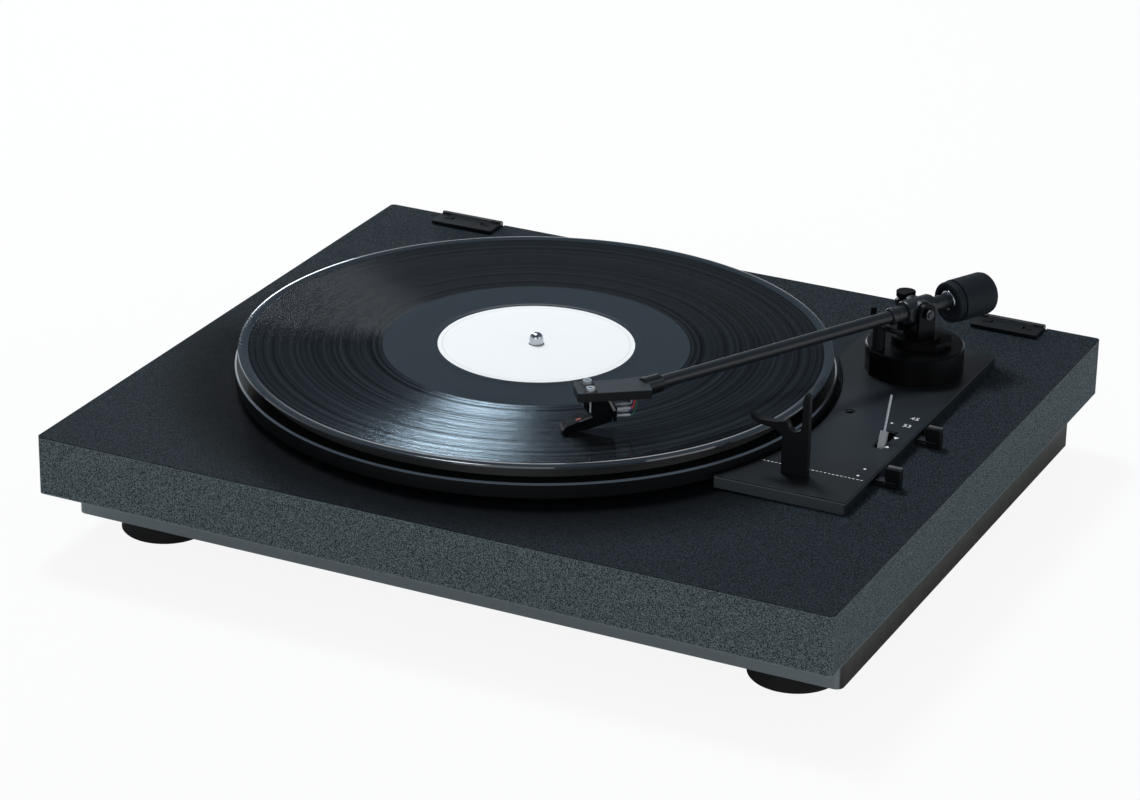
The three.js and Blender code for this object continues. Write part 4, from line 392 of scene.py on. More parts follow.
# %% Label paper
press_radius = 17 * mm
yellow_from, yellow_to = 47.2 * mm, 48.0 * mm
bench = Bench("label paper")
x, y, z = bench.axes()
radius = around_spindle(bench, x, y)[2]
press_ring = 1 - bench.step(bench.math("ABSOLUTE", radius - press_radius), 0.0, 0.5 * mm)
past_edge = bench.step(radius, yellow_to - 0.3 * mm, yellow_to)
edge_ring = bench.step(radius, yellow_from, yellow_from + 0.3 * mm) * (1 - past_edge)
fibres = bench.noise(0.5 * mm, 4.0)
paper = bench.blend(fibres, (0.90, 0.905, 0.905, 1), (0.97, 0.975, 0.975, 1))
paper = bench.blend(edge_ring * 0.5, paper, (0.60, 0.58, 0.50, 1))
label_rough = 0.7 + fibres * 0.15
paper_bump = bench.bump(fibres * 0.4 - press_ring, 0.05 * mm)
finishes["label_paper"] = bench.close(paper, label_rough, paper_bump, Specular_IOR_Level=0.3)
print("press ring at", round(press_radius / mm, 1), "mm")

# %% [markdown]
# The headshell is black, and its flat top is painted a lighter grey as painted light.

# %% Headshell paint
shell_top = 103.4 * mm
bench = Bench("headshell paint")
x, y, z = bench.axes()
above_sides = bench.step(z, shell_top - 0.5 * mm, shell_top - 0.25 * mm)
below_neck = 1 - bench.step(z, shell_top + 0.4 * mm, shell_top + 0.8 * mm)
# Painted light: the flat top is lighter than the black sides and neck.
lit_shell_top = above_sides * below_neck
shell_colour = bench.blend(lit_shell_top, (0.003, 0.004, 0.005, 1), (0.032, 0.040, 0.046, 1))
shell_rough = 0.34 + bench.noise(4 * mm) * 0.08
finishes["shell_black_lit_top"] = bench.close(shell_colour, shell_rough, Specular_IOR_Level=0.35)
print("headshell top at", round(shell_top / mm, 1), "mm")

# %% [markdown]
# The cast platter is black on its skirt. Its lowered rim was turned bright, so the finish has fine
# rings cut by the lathe, and it is metal on the rim only.

# %% The turned rim
rim_radius, rim_height = 151.5 * mm, 71.9 * mm
lathe_lines_per_metre = 4000
bench = Bench("platter cast")
x, y, z = bench.axes()
radius = around_spindle(bench, x, y)[2]
lathe_place = bench.node(
    "ShaderNodeCombineXYZ", None, radius * lathe_lines_per_metre, z * lathe_lines_per_metre, 0.0)
lathe_lines = bench.node("ShaderNodeTexNoise", Vector=lathe_place, Scale=1.0, Detail=2.0)
at_rim = bench.step(radius, rim_radius - 0.1 * mm, rim_radius + 0.1 * mm)
rim = at_rim * bench.step(z, rim_height, rim_height + 0.15 * mm)
painted = bench.blend(lathe_lines, (0.002, 0.0025, 0.003, 1), (0.006, 0.007, 0.008, 1))
cast_colour = bench.blend(rim, painted, (0.42, 0.45, 0.48, 1))
cast_rough = 0.36 - rim * 0.1 + lathe_lines * 0.06
cast_bump = bench.bump(lathe_lines, 0.01 * mm)
finishes["platter_cast"] = bench.close(
    cast_colour, cast_rough, cast_bump, Specular_IOR_Level=0.2, Metallic=rim)
print("finishes", len(finishes))

# %% [markdown]
# Every CAD node first gets the finish of its slot. What is hidden inside keeps its CAD shape, and
# what the eye sees is then made again with its real edges.

# %% Dress every node
record = frame["record"]
slot_of = {item["node"]: item["material_slot"] for item in record["subparts"]}
body_of = {}
for body, members in record["behaviour"]["bodies"].items():
    body_of.update({name: body for name in members})


def dress(piece, finish):
    """Give every face of the piece one finish."""
    piece.data.materials.clear()
    piece.data.materials.append(finishes[finish])
    for face in piece.data.polygons:
        face.material_index = 0


for name, node in nodes.items():
    dress(node, slot_of[name])
print("dressed", len(nodes))

# %% [markdown]
# Every finished piece is handed over in the same way: its smooth faces are shaded as round and its
# flat ones stay flat, it gets its finish, it is hung on the empty of the body that it moves with, and
# the nodes it replaces are hidden. How far it ends from the box of its node is worked out where it is
# much, but not kept.

# %% Hand a piece over
allowed_offset = 0.3 * mm


def pick_only(piece):
    """Make the piece the only selected one, and the active one."""
    bpy.ops.object.select_all(action="DESELECT")
    piece.select_set(True)
    bpy.context.view_layer.objects.active = piece


def note_offset(piece, low, high):
    """Work out how far the piece ends from these corners, where it is more than allowed; nothing keeps
    it.
    """
    corners = [piece.matrix_world @ vertex.co for vertex in piece.data.vertices]
    ends = []
    for axis in range(3):
        along = [corner[axis] for corner in corners]
        ends.append((min(along) - low[axis], max(along) - high[axis]))
    if max(abs(end) for pair in ends for end in pair) > allowed_offset:
        [[round(end / mm, 2) for end in pair] for pair in ends]


def hand_over(piece, body, slot, replaced=(), finish=None):
    """Shade the piece, give it its finish, hang it on its body and hide the nodes it replaces."""
    pick_only(piece)
    bpy.ops.object.transform_apply(location=True, rotation=True, scale=True)
    bpy.ops.object.shade_smooth_by_angle(angle=math.radians(32))
    weighted = piece.modifiers.new("flat faces stay flat", "WEIGHTED_NORMAL")
    weighted.keep_sharp = True
    bpy.ops.object.modifier_apply(modifier=weighted.name)
    dress(piece, finish or slot)
    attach(piece, body)
    if replaced:
        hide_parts(*replaced)
        low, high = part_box(replaced[0])
        note_offset(piece, low, high)
    piece.select_set(False)
    return piece


# %% [markdown]
# A real edge is never sharp, and a thin line of light runs along it. For a piece whose CAD shape is
# right, a copy of its mesh is taken, its loose triangles are joined and its flat faces are made
# whole, and a Bevel modifier rounds every edge that turns by more than a set angle.

# %% Round the edges of a copy
def round_edges(piece, width, angle=30):
    """Round the edges that turn by more than the angle."""
    bevel = piece.modifiers.new("rounding", "BEVEL")
    bevel.width = width
    bevel.segments = 2
    bevel.limit_method = "ANGLE"
    bevel.angle_limit = math.radians(angle)
    bevel.use_clamp_overlap = True
    pick_only(piece)
    bpy.ops.object.modifier_apply(modifier=bevel.name)


def rounded_copy(node, width, finish=None):
    """Make a rounded copy of a CAD node and put it in its place."""
    piece = nodes[node].copy()
    piece.data = nodes[node].data.copy()
    piece.parent = None
    for key in list(piece.keys()):
        del piece[key]
    piece.name = node + "_dressed"
    bpy.context.scene.collection.objects.link(piece)
    pick_only(piece)
    bpy.ops.object.mode_set(mode="EDIT")
    bpy.ops.mesh.select_all(action="SELECT")
    bpy.ops.mesh.remove_doubles(threshold=0.001 * mm)
    bpy.ops.mesh.dissolve_limited(angle_limit=math.radians(0.5))
    bpy.ops.object.mode_set(mode="OBJECT")
    round_edges(piece, width)
    return hand_over(piece, body_of[node], slot_of[node], (node,), finish)


# %% [markdown]
# Each node has its own edge width in millimetres: broad on mouldings, fine on small parts. Some get
# another finish than the one of their slot, because the same black looks different on them.

# %% Edge widths, and finishes apart from the slot's
edge_widths = {
    "plinth": 0.5, "bottom_tray": 0.5, "control_plate": 0.45, "arm_rest": 0.3,
    "hinge_left_base": 0.3, "hinge_right_base": 0.3, "hinge_left_tongue": 0.3, "hinge_right_tongue": 0.3,
    "start_knob": 0.35, "speed_knob": 0.35, "start_slider": 0.15, "speed_slider": 0.15,
    "cue_lever": 0.5, "arm_yoke": 0.35, "headshell": 0.3, "cartridge": 0.2, "stylus": 0.12,
    "lift_bar": 0.25, "arm_base": 0.4, "arm_hub_block": 0.3,
    "pivot_screw_near": 0.2, "pivot_screw_far": 0.2,
}
finish_of = {
    # The headshell's finish has a painted light top.
    "headshell": "shell_black_lit_top", "arm_hub_block": "arm_tube_black",
    "cartridge": "gloss_black", "stylus": "gloss_black",
    "arm_base": "turret_black", "arm_yoke": "turret_black",
    "start_slider": "dark_steel", "speed_slider": "dark_steel",
    "pivot_screw_near": "dark_steel", "pivot_screw_far": "dark_steel",
}
for node, width in edge_widths.items():
    piece = rounded_copy(node, width * mm, finish=finish_of.get(node))
    print(piece.name, len(piece.data.polygons), "faces")

# %% [markdown]
# Much of a record player was turned on a lathe or moulded round. Such a piece is made here as it
# would be by hand: a ring of points is added, then raised and widened step by step along its profile,
# each step an extrusion and a scale. A ring on the axis closes to a point, and where a piece has a
# hole through it the last ring meets the first.

# %% A lathe
def rise(height):
    """Extrude what is selected, upwards by this height in millimetres."""
    bpy.ops.mesh.extrude_region_move(TRANSFORM_OT_translate={"value": (0, 0, height * mm)})


def make_solid():
    """Turn every face of the edited mesh outwards and leave edit mode."""
    bpy.ops.mesh.select_all(action="SELECT")
    bpy.ops.mesh.normals_make_consistent(inside=False)
    bpy.ops.object.mode_set(mode="OBJECT")


def turned_piece(name, steps, segments, rounding, placed):
    """Raise a ring through steps of (radius, height) in millimetres, round its edges and place it."""
    on_axis = 0.001
    (radius, height), *rest = steps
    bpy.ops.object.select_all(action="DESELECT")
    bpy.ops.mesh.primitive_circle_add(
        vertices=segments, radius=max(radius, on_axis) * mm, location=(0, 0, height * mm))
    piece = bpy.context.object
    piece.name = name
    bpy.ops.object.transform_apply(location=True)
    bpy.ops.object.mode_set(mode="EDIT")
    bpy.ops.mesh.select_mode(type="VERT")
    bpy.ops.mesh.select_all(action="SELECT")
    for next_radius, next_height in rest:
        rise(next_height - height)
        factor = max(next_radius, on_axis) / max(radius, on_axis)
        bpy.ops.transform.resize(value=(factor, factor, 1))
        radius, height = next_radius, next_height
    bpy.ops.mesh.select_all(action="SELECT")
    bpy.ops.mesh.remove_doubles(threshold=0.005 * mm)
    make_solid()
    if rounding:
        round_edges(piece, rounding * mm, 20)
    piece.data.transform(placed)
    return piece


def middle_of(node):
    """The middle of a CAD node's box in plan."""
    low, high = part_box(node)
    return (low[0] + high[0]) / 2, (low[1] + high[1]) / 2


# %% [markdown]
# Platter, mat, record, label and spindle share one axis. Their heights are measured from the top of
# the plinth. A pair in a profile is a radius and a height, and each profile with a hole ends where
# it starts. The platter's comes first: its plateau carries the mat, and its rim lies lower.

# %% Profiles of the platter and the mat
plinth_top = plinth_high[2]
spin_axis = Matrix.Translation((spindle_x, spindle_y, plinth_top))
platter_top, rim_top, skirt_low, web = 14.2, 10.8, 3.0, 3.0
rim_outer, skirt_inner, bore = 152.4, 148.8, 3.9
hub_low = -3.0
platter_steps = [
    (bore, platter_top), (143.5, platter_top), (144.3, rim_top), (151.5, rim_top),
    (rim_outer, rim_top - 0.9), (rim_outer, skirt_low), (skirt_inner, skirt_low),
    (skirt_inner, rim_top - web), (141.1, rim_top - web), (138.7, platter_top - web),
    (66.0, platter_top - web), (66.0, hub_low), (63.2, hub_low), (63.2, platter_top - web),
    (11.0, platter_top - web), (10.0, hub_low), (bore, hub_low), (bore, platter_top),
]
mat_top = platter_top + 2.8
mat_bore, mat_radius = 4.5, 143.0
mat_steps = [
    (mat_bore, platter_top), (mat_radius, platter_top), (mat_radius, mat_top), (mat_bore, mat_top),
    (mat_bore, platter_top),
]
print("mat top at", round(mat_top + plinth_top / mm, 2), "mm")

# %% [markdown]
# The record isn't flat: a bead runs round its rim and the middle is a little thicker, so that only
# these touch when records are stacked. The bead is what draws the bright line at its edge.

# %% Record, label and spindle, and the turning of all five
groove_top = mat_top + 1.5
label_low = groove_top + 0.2
disc_steps = [
    (bore, mat_top), (149.6, mat_top), (150.5, mat_top + 0.35), (150.8, mat_top + 0.9),
    (150.5, groove_top + 0.1), (149.6, groove_top + 0.36), (148.4, groove_top + 0.4),
    (147.2, groove_top + 0.3), (146.2, groove_top), (145.8, groove_top), (54.2, groove_top),
    (54.0, groove_top), (52.0, label_low), (51.8, label_low), (4.1, label_low), (bore, label_low),
    (bore, mat_top),
]
label_top, label_radius = label_low + 0.15, 50.0
label_steps = [
    (bore, label_low), (label_radius, label_low), (label_radius, label_top), (bore, label_top),
    (bore, label_low),
]
spindle_steps = [
    (0.0, -15.5), (5.0, -15.5), (5.0, -12.0), (8.0, -12.0), (8.0, -10.0), (3.55, -10.0),
    (3.55, 21.6), (3.4, 22.6), (3.0, 23.5), (2.3, 24.2), (1.3, 24.65), (0.0, 24.8),
]
spindle_parts = [
    ("platter_turned", platter_steps, 256, 0.2, "platter"),
    ("mat_ribbed", mat_steps, 128, 0.4, "platter_mat"),
    ("record_pressed", disc_steps, 256, 0.0, "record_disc"),
    ("label_sheet", label_steps, 128, 0.0, "record_label"),
    ("spindle_polished", spindle_steps, 48, 0.15, "spindle"),
]
for name, steps, segments, rounding, node in spindle_parts:
    piece = turned_piece(name, steps, segments, rounding, spin_axis)
    hand_over(piece, body_of[node], slot_of[node], (node,))
print("record at", round(groove_top + plinth_top / mm, 2), "mm")

# %% [markdown]
# The feet are soft rubber, wider at the floor, with a recess in the sole. All four are one shape, made
# once for each place.

# %% Feet
foot_steps = [
    (0.0, 1.2), (18.0, 1.2), (18.4, 0.0), (21.6, 0.0), (22.4, 0.9), (20.6, 11.0), (20.1, 11.4),
    (6.0, 11.4), (6.0, 15.6), (0.0, 15.6),
]
for node in ("foot_front_left", "foot_front_right", "foot_rear_left", "foot_rear_right"):
    foot_x, foot_y = middle_of(node)
    foot = turned_piece(node + "_rubber", foot_steps, 72, 0.25, Matrix.Translation((foot_x, foot_y, 0)))
    hand_over(foot, "root", slot_of[node], (node,))
    print(node, "at", round(foot_x / mm, 1), round(foot_y / mm, 1), "mm")

# %% [markdown]
# The arm has a frame of its own. Its pivot and its heading are read from the tilt joint: the arm
# points square to that joint's axis. Lathe pieces stand upright, so one matrix lays them down along
# the arm. The headshell has a second frame at the end of the tube, turned in towards the record.

# %% The arm's frames
joint_of = {joint["name"]: joint for joint in record["behaviour"]["joints"]}
tilt = joint_of["arm_tilt"]
heading = math.atan2(tilt["axis"][0], -tilt["axis"][1])
pivot = Vector(tilt["pos_m"])
to_heading = Matrix.Rotation(heading, 4, "Z")
laid_down = Matrix.Rotation(math.radians(90), 4, "Y")
along_arm = Matrix.Translation(pivot) @ to_heading @ laid_down
arm_plan = Matrix.Translation((pivot.x, pivot.y, 0)) @ to_heading
shell_start, shell_side, shell_turn = 174.2 * mm, 3.9 * mm, math.radians(-27)
to_shell = Matrix.Translation((shell_start, shell_side, 0)) @ Matrix.Rotation(shell_turn, 4, "Z")
shell_plan = arm_plan @ to_shell
print("arm heading", round(math.degrees(heading), 2))

# %% [markdown]
# The front tube runs from the pivot to the headshell, and the thicker rear tube carries the
# counterweight. The weight hangs a little below the tube: it has a sleeve with a rounded back edge, a
# groove, and a narrower ring in front. A polished collar closes the hole where the tube goes in.

# %% Arm tubes and counterweight
tube_steps = [(0.0, 10.8), (3.2, 10.8), (3.2, 173.5), (0.0, 173.5)]
rear_steps = [
    (0.0, -40.0), (4.0, -40.0), (4.0, 14.9), (4.5, 15.5), (4.5, 17.9), (4.0, 18.5), (3.5, 18.5),
    (3.5, 10.5), (0.0, 10.5),
]
weight_drop = 1.2
weight_steps = [
    (0.0, -47.4), (7.6, -47.4), (9.4, -46.9), (10.5, -45.7), (11.0, -44.0), (11.0, -25.2),
    (9.8, -25.2), (9.8, -24.7), (10.6, -24.4), (10.6, -23.2), (10.2, -23.0), (10.2, -22.7),
    (10.6, -22.5), (10.6, -21.4), (9.9, -20.7), (8.0, -20.7), (7.4, -22.2), (0.0, -22.2),
]
collar_steps = [
    (4.1, -22.1), (5.2, -22.1), (5.4, -21.4), (5.1, -20.7), (4.5, -20.4), (4.1, -20.5), (4.1, -22.1),
]
lowered = Matrix.Translation((0, 0, -weight_drop * mm)) @ along_arm
arm_parts = [
    ("arm_tube_drawn", tube_steps, 48, 0.2, along_arm, "arm_tube"),
    ("rear_tube_turned", rear_steps, 48, 0.15, along_arm, "arm_rear_tube"),
    ("counterweight_sleeve", weight_steps, 96, 0.2, lowered, "counterweight"),
]
for name, steps, segments, rounding, placed, node in arm_parts:
    piece = turned_piece(name, steps, segments, rounding, placed)
    hand_over(piece, "tonearm", slot_of[node], (node,))
collar = turned_piece("weight_collar", collar_steps, 64, 0.1, along_arm)
hand_over(collar, "tonearm", "bright_steel", finish="bright_steel")
print("arm reaches", tube_steps[-1][1], "mm from its pivot")

# %% [markdown]
# The cartridge hangs on two screws. Each has a washer and a round head with a socket for a key. The
# head starts as a cylinder. Its top face is inset and pushed down, its bottom face is drawn out to
# the shaft, and its edges are rounded. A step is an inset and a depth, and no inset keeps the width.

# %% Screws with a socket
def socket_screw(name, radius, height, bite, placed):
    """A round head with a sunk socket on a washer, standing on the origin of its place."""
    bpy.ops.object.select_all(action="DESELECT")
    bpy.ops.mesh.primitive_cylinder_add(
        vertices=36, radius=radius * mm, depth=height * mm, location=(0, 0, height / 2 * mm))
    piece = bpy.context.object
    piece.name = name
    bpy.ops.object.transform_apply(location=True)
    bpy.ops.object.mode_set(mode="EDIT")
    bpy.ops.mesh.select_mode(type="FACE")
    socket_steps = [(radius * 0.45, -height * 0.55)]
    shaft_steps = [(0.0, bite * 0.2), (radius * 0.75, bite)]
    for sign, steps in ((1, socket_steps), (-1, shaft_steps)):
        bpy.ops.mesh.select_all(action="DESELECT")
        mesh = bmesh.from_edit_mesh(piece.data)
        chosen = max(mesh.faces, key=lambda face: sign * face.calc_center_median().z)
        chosen.select = True
        bmesh.update_edit_mesh(piece.data)
        for inset, depth in steps:
            if inset > 0:
                bpy.ops.mesh.inset(thickness=inset * mm)
            rise(sign * depth)
    make_solid()
    round_edges(piece, 0.12 * mm, 40)
    piece.data.transform(placed)
    return piece


washer_steps = [(2.15, -0.05), (3.3, -0.05), (3.3, 0.35), (2.15, 0.35), (2.15, -0.05)]
head_radius, head_height, shaft_length = 2.1, 1.8, 9.4
for node in ("mount_screw_near", "mount_screw_far"):
    screw_x, screw_y = middle_of(node)
    seat = Matrix.Translation((screw_x, screw_y, shell_top + 0.1 * mm))
    screw = socket_screw(node + "_socket", head_radius, head_height, shaft_length, seat)
    hand_over(screw, "tonearm", slot_of[node], (node,), finish="rod_nickel")
    washer = turned_piece(node + "_washer", washer_steps, 40, 0.08, seat)
    hand_over(washer, "tonearm", "zinc_steel", finish="dark_steel")
    print(node, "at", round(screw_x / mm, 1), round(screw_y / mm, 1), "mm")

# %% [markdown]
# Four thin wires join the cartridge's pins to the arm. Each pin wears a bright crimped clip, and the
# wire leaves it with a little slack, climbs behind the cartridge and goes up under the headshell. A
# wire is a smooth curve with a round section, so its way is a list of points.

# %% The way of a wire
pin_heights = {"low": 27.0, "high": 30.6}
slack_of = {"low": 1.6, "high": 1.0}
pin_side, pin_end, clip_length = 2.6, 9.6, 6.4
wire_start = pin_end - 0.6
wire_top = 38.9
wire_of = {
    "wire_white": (-1, "high"), "wire_blue": (-1, "low"),
    "wire_red": (1, "high"), "wire_green": (1, "low"),
}
clip_steps = [
    (0.0, 0.0), (0.58, 0.0), (0.74, 0.4), (0.74, 3.4), (0.6, 3.8), (0.6, clip_length), (0.0, clip_length),
]


def wire_route(pin_height, slack):
    """Points from the pin to the headshell: along it, to its side, and above the plinth."""
    back = wire_start - slack
    bend = pin_height + 3.6
    return [
        (wire_start + 0.4, pin_side, pin_height),
        (wire_start - 0.8, pin_side, pin_height - 0.1),
        (wire_start - slack * 0.7, pin_side, pin_height + 0.7),
        (back - 0.5, pin_side * 1.15, bend),
        (back - 0.7, pin_side, (bend + wire_top) / 2),
        (back - 1.2, pin_side * 0.8, wire_top),
    ]


# %% [markdown]
# Each wire is laid through its points, on the left or the right side, and its clip is turned and laid
# down over the pin.

# %% Wires and clips
for node, (side, level) in wire_of.items():
    pin_height = pin_heights[level]
    route = wire_route(pin_height, slack_of[level])
    bpy.ops.object.select_all(action="DESELECT")
    bpy.ops.curve.primitive_nurbs_path_add()
    wire = bpy.context.object
    wire.name = node + "_strand"
    spline = wire.data.splines[0]
    spline.points.add(len(route) - len(spline.points))
    for point, (u, v, height) in zip(spline.points, route):
        point.co = (u * mm, side * v * mm, height * mm + plinth_top, 1)
    spline.use_endpoint_u = True
    wire.data.bevel_depth = 0.42 * mm
    wire.data.bevel_resolution = 3
    wire.data.use_fill_caps = True
    bpy.ops.object.convert(target="MESH")
    wire = bpy.context.object
    wire.matrix_world = Matrix()
    wire.data.transform(shell_plan)
    hand_over(wire, "tonearm", slot_of[node], (node,))
    clip_end = Vector((pin_end * mm, side * pin_side * mm, pin_height * mm + plinth_top))
    laid = shell_plan @ Matrix.Translation(clip_end) @ laid_down
    clip = turned_piece(node + "_clip", clip_steps, 24, 0.0, laid)
    hand_over(clip, "tonearm", "bright_steel", finish="rod_nickel")
    print(node, "leaves its pin at", pin_height, "mm")

# %% [markdown]
# Three slim parts finish the cartridge: a red flake of paint where the needle sits, and two pale
# bars that are painted highlights, one along the holder's upper edge and one along the rear edge of
# the body that shows under the headshell.
# Each is a bar with rounded edges, turned to the slope that it lies on.

# %% The red mark and two painted edge highlights
def bar(name, size, placed, slot, finish):
    """A slim bar of this size in millimetres with rounded edges."""
    bpy.ops.object.select_all(action="DESELECT")
    bpy.ops.mesh.primitive_cube_add(size=1 * mm)
    piece = bpy.context.object
    piece.name = name
    piece.data.transform(Matrix.Diagonal((*size, 1)))
    round_edges(piece, min(size) * 0.3 * mm, 40)
    piece.data.transform(shell_plan @ placed)
    print(name, "at", [round(value / mm, 1) for value in (shell_plan @ placed).translation])
    return hand_over(piece, "tonearm", slot, finish=finish)


def in_shell(u, v, height, turn):
    """A place in the headshell's frame, turned about its cross axis."""
    place = Matrix.Translation((u * mm, v * mm, plinth_top + height * mm))
    return place @ Matrix.Rotation(turn, 4, "Y")


holder_rear, holder_front = (18.6, 30.6), (36.9, 24.9)
holder_slope = math.atan2(holder_rear[1] - holder_front[1], holder_front[0] - holder_rear[0])
holder_half_width, body_half_width = 4.6, 5.6


def on_holder(u, v, above):
    """A place at this height above the sloping top of the stylus holder."""
    height = holder_front[1] + (holder_front[0] - u) * math.tan(holder_slope)
    return in_shell(u, v, height + above, holder_slope)


edge_top, edge_foot = (21.3, 38.2), (17.7, 30.8)
edge_lean = math.atan2(edge_top[0] - edge_foot[0], edge_top[1] - edge_foot[1])
edge_length = math.dist(edge_top, edge_foot)
edge_middle = [(top + foot) / 2 for top, foot in zip(edge_top, edge_foot)]
edge_place = in_shell(edge_middle[0], body_half_width, edge_middle[1], edge_lean)
mark_place = on_holder(34.6, 1.6, 0.1)
highlight_bar_place = on_holder(28.0, holder_half_width - 0.2, 0.05)
bar("stylus_mark", (2.6, 1.8, 0.3), mark_place, "socket_red", "signal_red")
# Painted highlights: two pale bars along the holder's upper edge and the body's rear edge.
bar("stylus_highlight_bar", (14.5, 0.4, 0.3), highlight_bar_place, "zinc_steel", "painted_glint")
bar("cartridge_highlight_bar", (1.3, 0.35, edge_length), edge_place, "zinc_steel", "painted_glint")

# %% [markdown]
# The cue lever is a small grey block that leans back, with a slim bright rod in it. The rod tapers to
# a rounded tip. It leans as its CAD twin does, so its axis is worked out from the lever's joint.

# %% The cue lever's rod
cue = joint_of["cue_lever_tilt"]
cue_lean = math.radians(24)
rod_from, rod_to = 24.6, 47.6
rod_steps = [
    (0.0, rod_from), (0.6, rod_from), (0.6, rod_to - 5.0), (0.55, rod_to - 1.0),
    (0.35, rod_to - 0.2), (0.0, rod_to),
]
leaning_rod = Matrix.Translation(cue["pos_m"]) @ Matrix.Rotation(-cue_lean, 4, "X")
rod = turned_piece("cue_rod_drawn", rod_steps, 32, 0.0, leaning_rod)
hand_over(rod, "cue", slot_of["cue_lever_rod"], ("cue_lever_rod",), finish="rod_nickel")
print("cue rod of", rod_to - rod_from, "mm")

# %% [markdown]
# The control plate carries its markings in white print: the two speeds, pointers for the levers and a
# dashed line. A mark is a thin film of ink that lies on the paint. The numbers start as a text object,
# and each is given the thickness of the film.

# %% Printed numbers
plate_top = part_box("control_plate")[1][2]
ink = 0.03


def ink_film(piece, name, place_x, place_y, turn=0.0):
    """Give a flat shape the thickness of ink and lay it on the plate."""
    piece.name = name
    bpy.ops.object.mode_set(mode="EDIT")
    bpy.ops.mesh.select_all(action="SELECT")
    rise(ink)
    make_solid()
    place = Matrix.Translation((place_x * mm, place_y * mm, plate_top))
    piece.data.transform(place @ Matrix.Rotation(turn, 4, "Z"))
    return hand_over(piece, "root", "label_paper", finish="white_print")


number_size = 4.6
for number, place_x, place_y in (("33", 167.1, 15.5), ("45", 167.5, 25.3)):
    bpy.ops.object.select_all(action="DESELECT")
    bpy.ops.object.text_add(location=(0, 0, 0))
    text = bpy.context.object
    text.data.body = number
    text.data.size = number_size * mm
    text.data.align_x = "CENTER"
    text.data.align_y = "CENTER"
    bpy.ops.object.convert(target="MESH")
    ink_film(bpy.context.object, "print_" + number, place_x, place_y)
    print("number", number, "at", place_x, place_y)

# %% [markdown]
# The small shapes start as a flat circle: three corners make a pointer and twenty a dot. A dash is a
# plane drawn out to its length.

# %% Pointers, dots and the dashed line
shapes = [
    ("pointer_up", 3, 1.5, 167.7, -0.6, math.pi), ("pointer_down", 3, 1.5, 167.7, -12.6, 0.0),
    ("dot_cue", 20, 0.7, 159.2, 15.4, 0.0), ("dot_start", 20, 0.7, 167.9, -41.6, 0.0),
    ("dot_stop", 20, 0.7, 167.8, -50.1, 0.0),
]
for name, corners, radius, place_x, place_y, turn in shapes:
    bpy.ops.object.select_all(action="DESELECT")
    bpy.ops.mesh.primitive_circle_add(vertices=corners, radius=radius * mm, fill_type="NGON")
    ink_film(bpy.context.object, name, place_x, place_y, turn)
dash_from, dash_to, dash_pitch, dash_y = 120.0, 173.0, 2.1, -54.5
dash_length, dash_width = 1.3, 0.4
dash_count = int((dash_to - dash_from) / dash_pitch)
for index in range(dash_count):
    bpy.ops.object.select_all(action="DESELECT")
    bpy.ops.mesh.primitive_plane_add(size=1 * mm)
    dash = bpy.context.object
    dash.data.transform(Matrix.Diagonal((dash_length, dash_width, 1, 1)))
    ink_film(dash, f"dash_{index}", dash_from + (index + 0.5) * dash_pitch, dash_y)
print("dashes", dash_count)

# %% [markdown]
# The object stands on a wide floor. It is white to the camera, and it lights the object as pale paper
# would. It belongs to the stage, so it isn't part of the object.

# %% Floor
bpy.ops.mesh.primitive_plane_add(size=40, location=(0, 0, 0))
floor = bpy.context.object
floor.name = "floor"
bench = Bench("floor")
seen = bench.node("ShaderNodeLightPath", output="Is Camera Ray")
surface = bench.node("ShaderNodeBsdfDiffuse", None, Color=(0.86, 0.86, 0.86, 1))
glow = bench.node("ShaderNodeEmission", None, Color=(1, 1, 1, 1), Strength=1.0)
mixed = bench.node("ShaderNodeMixShader", None, seen * 0.9, surface, glow)
bench.node("ShaderNodeOutputMaterial", None, Surface=mixed)
floor.data.materials.append(bench.material)
floor.select_set(False)
print("floor laid")

# %% [markdown]
# The light is that of a product table. A softbox overhead, to the left and behind, draws the fans on
# the record, and a small low one stands far behind on the left. A wide soft one in front lifts the
# front face, and one on the right the side.

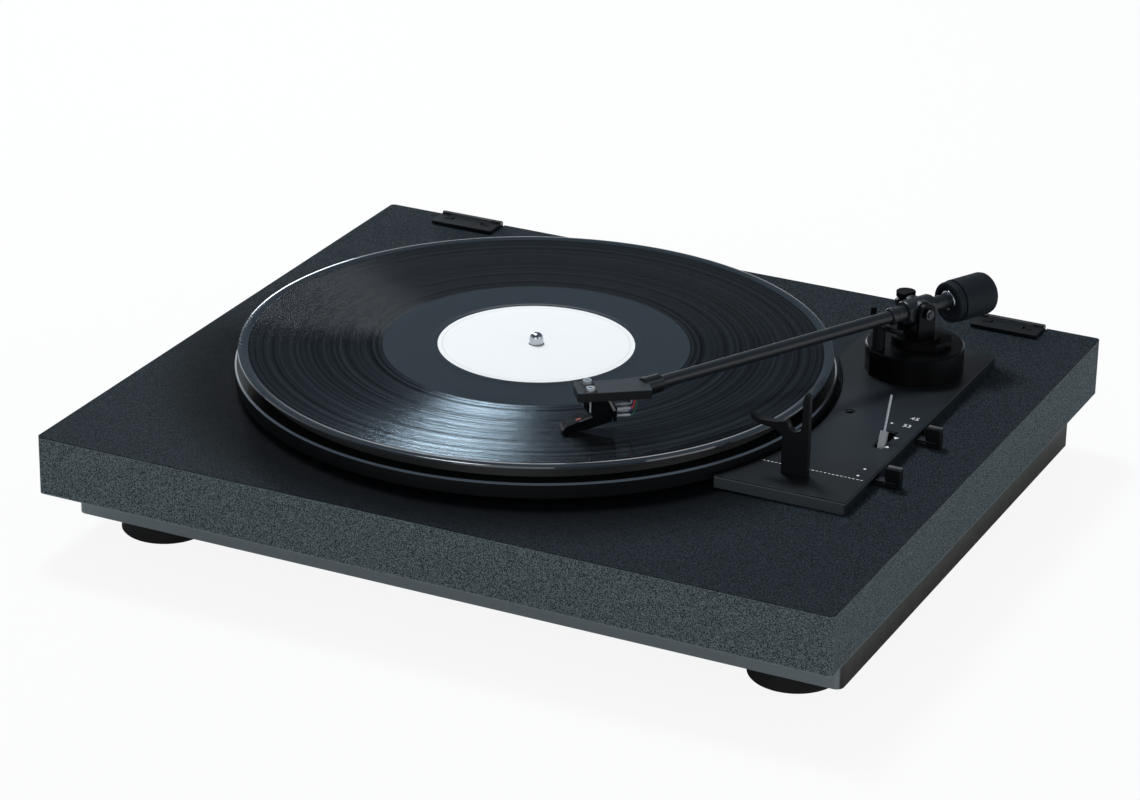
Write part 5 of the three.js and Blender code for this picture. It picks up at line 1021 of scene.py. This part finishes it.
# %% Lamps
def softbox(name, place, target, size, power, colour=(1, 1, 1)):
    """A square area lamp at a place, turned to a target."""
    data = bpy.data.lights.new(name, "AREA")
    data.shape = "RECTANGLE"
    data.size, data.size_y = size
    data.energy = power
    data.color = colour
    lamp = bpy.data.objects.new(name, data)
    bpy.context.scene.collection.objects.link(lamp)
    lamp.location = place
    lamp.rotation_euler = (Vector(target) - Vector(place)).to_track_quat("-Z", "Y").to_euler()
    return lamp


softbox("overhead", (-0.72, 0.60, 1.83), (0, 0, 0), (0.5, 0.5), 27, (0.88, 0.95, 1.0))
softbox("window", (-1.50, 1.78, 0.34), (0, 0, 0.08), (0.45, 0.3), 5, (0.85, 0.94, 1.0))
softbox("front", (0.6, -2.4, 0.7), (0, 0, 0.05), (1.6, 0.9), 9)
softbox("side", (2.4, -0.4, 0.8), (0, 0, 0.05), (1.2, 0.9), 8)

# %% [markdown]
# The camera and mirror rays see a room that is white at the horizon and dark blue overhead. Every
# other ray sees a weak even fill, so that shadows aren't quite black.

# %% World
wall_top, ceiling_start = 0.02, 0.30
ceiling_blue = (0.085, 0.11, 0.14, 1)
fill_strength = 0.35
room = Bench("room", "worlds")
bpy.context.scene.world = room.material
direction = room.node("ShaderNodeTexCoord", output="Generated")
height = room.node("ShaderNodeSeparateXYZ", None, direction, output=2)
ceiling = room.step(height, wall_top, ceiling_start)
ray_kinds = ("Camera", "Glossy", "Transmission")
seen = [room.node("ShaderNodeLightPath", output=f"Is {kind} Ray") for kind in ray_kinds]
anywhere = room.math("MAXIMUM", room.math("MAXIMUM", seen[0], seen[1]), seen[2])
fill = room.node("ShaderNodeBackground", None, Color=(0.95, 0.97, 1, 1), Strength=fill_strength)
walls = room.blend(ceiling, (1, 1, 1, 1), ceiling_blue)
backdrop = room.node("ShaderNodeBackground", None, Color=walls, Strength=1.0)
either = room.node("ShaderNodeMixShader", None, anywhere, fill, backdrop)
room.node("ShaderNodeOutputWorld", None, Surface=either)
print("fill", fill_strength)
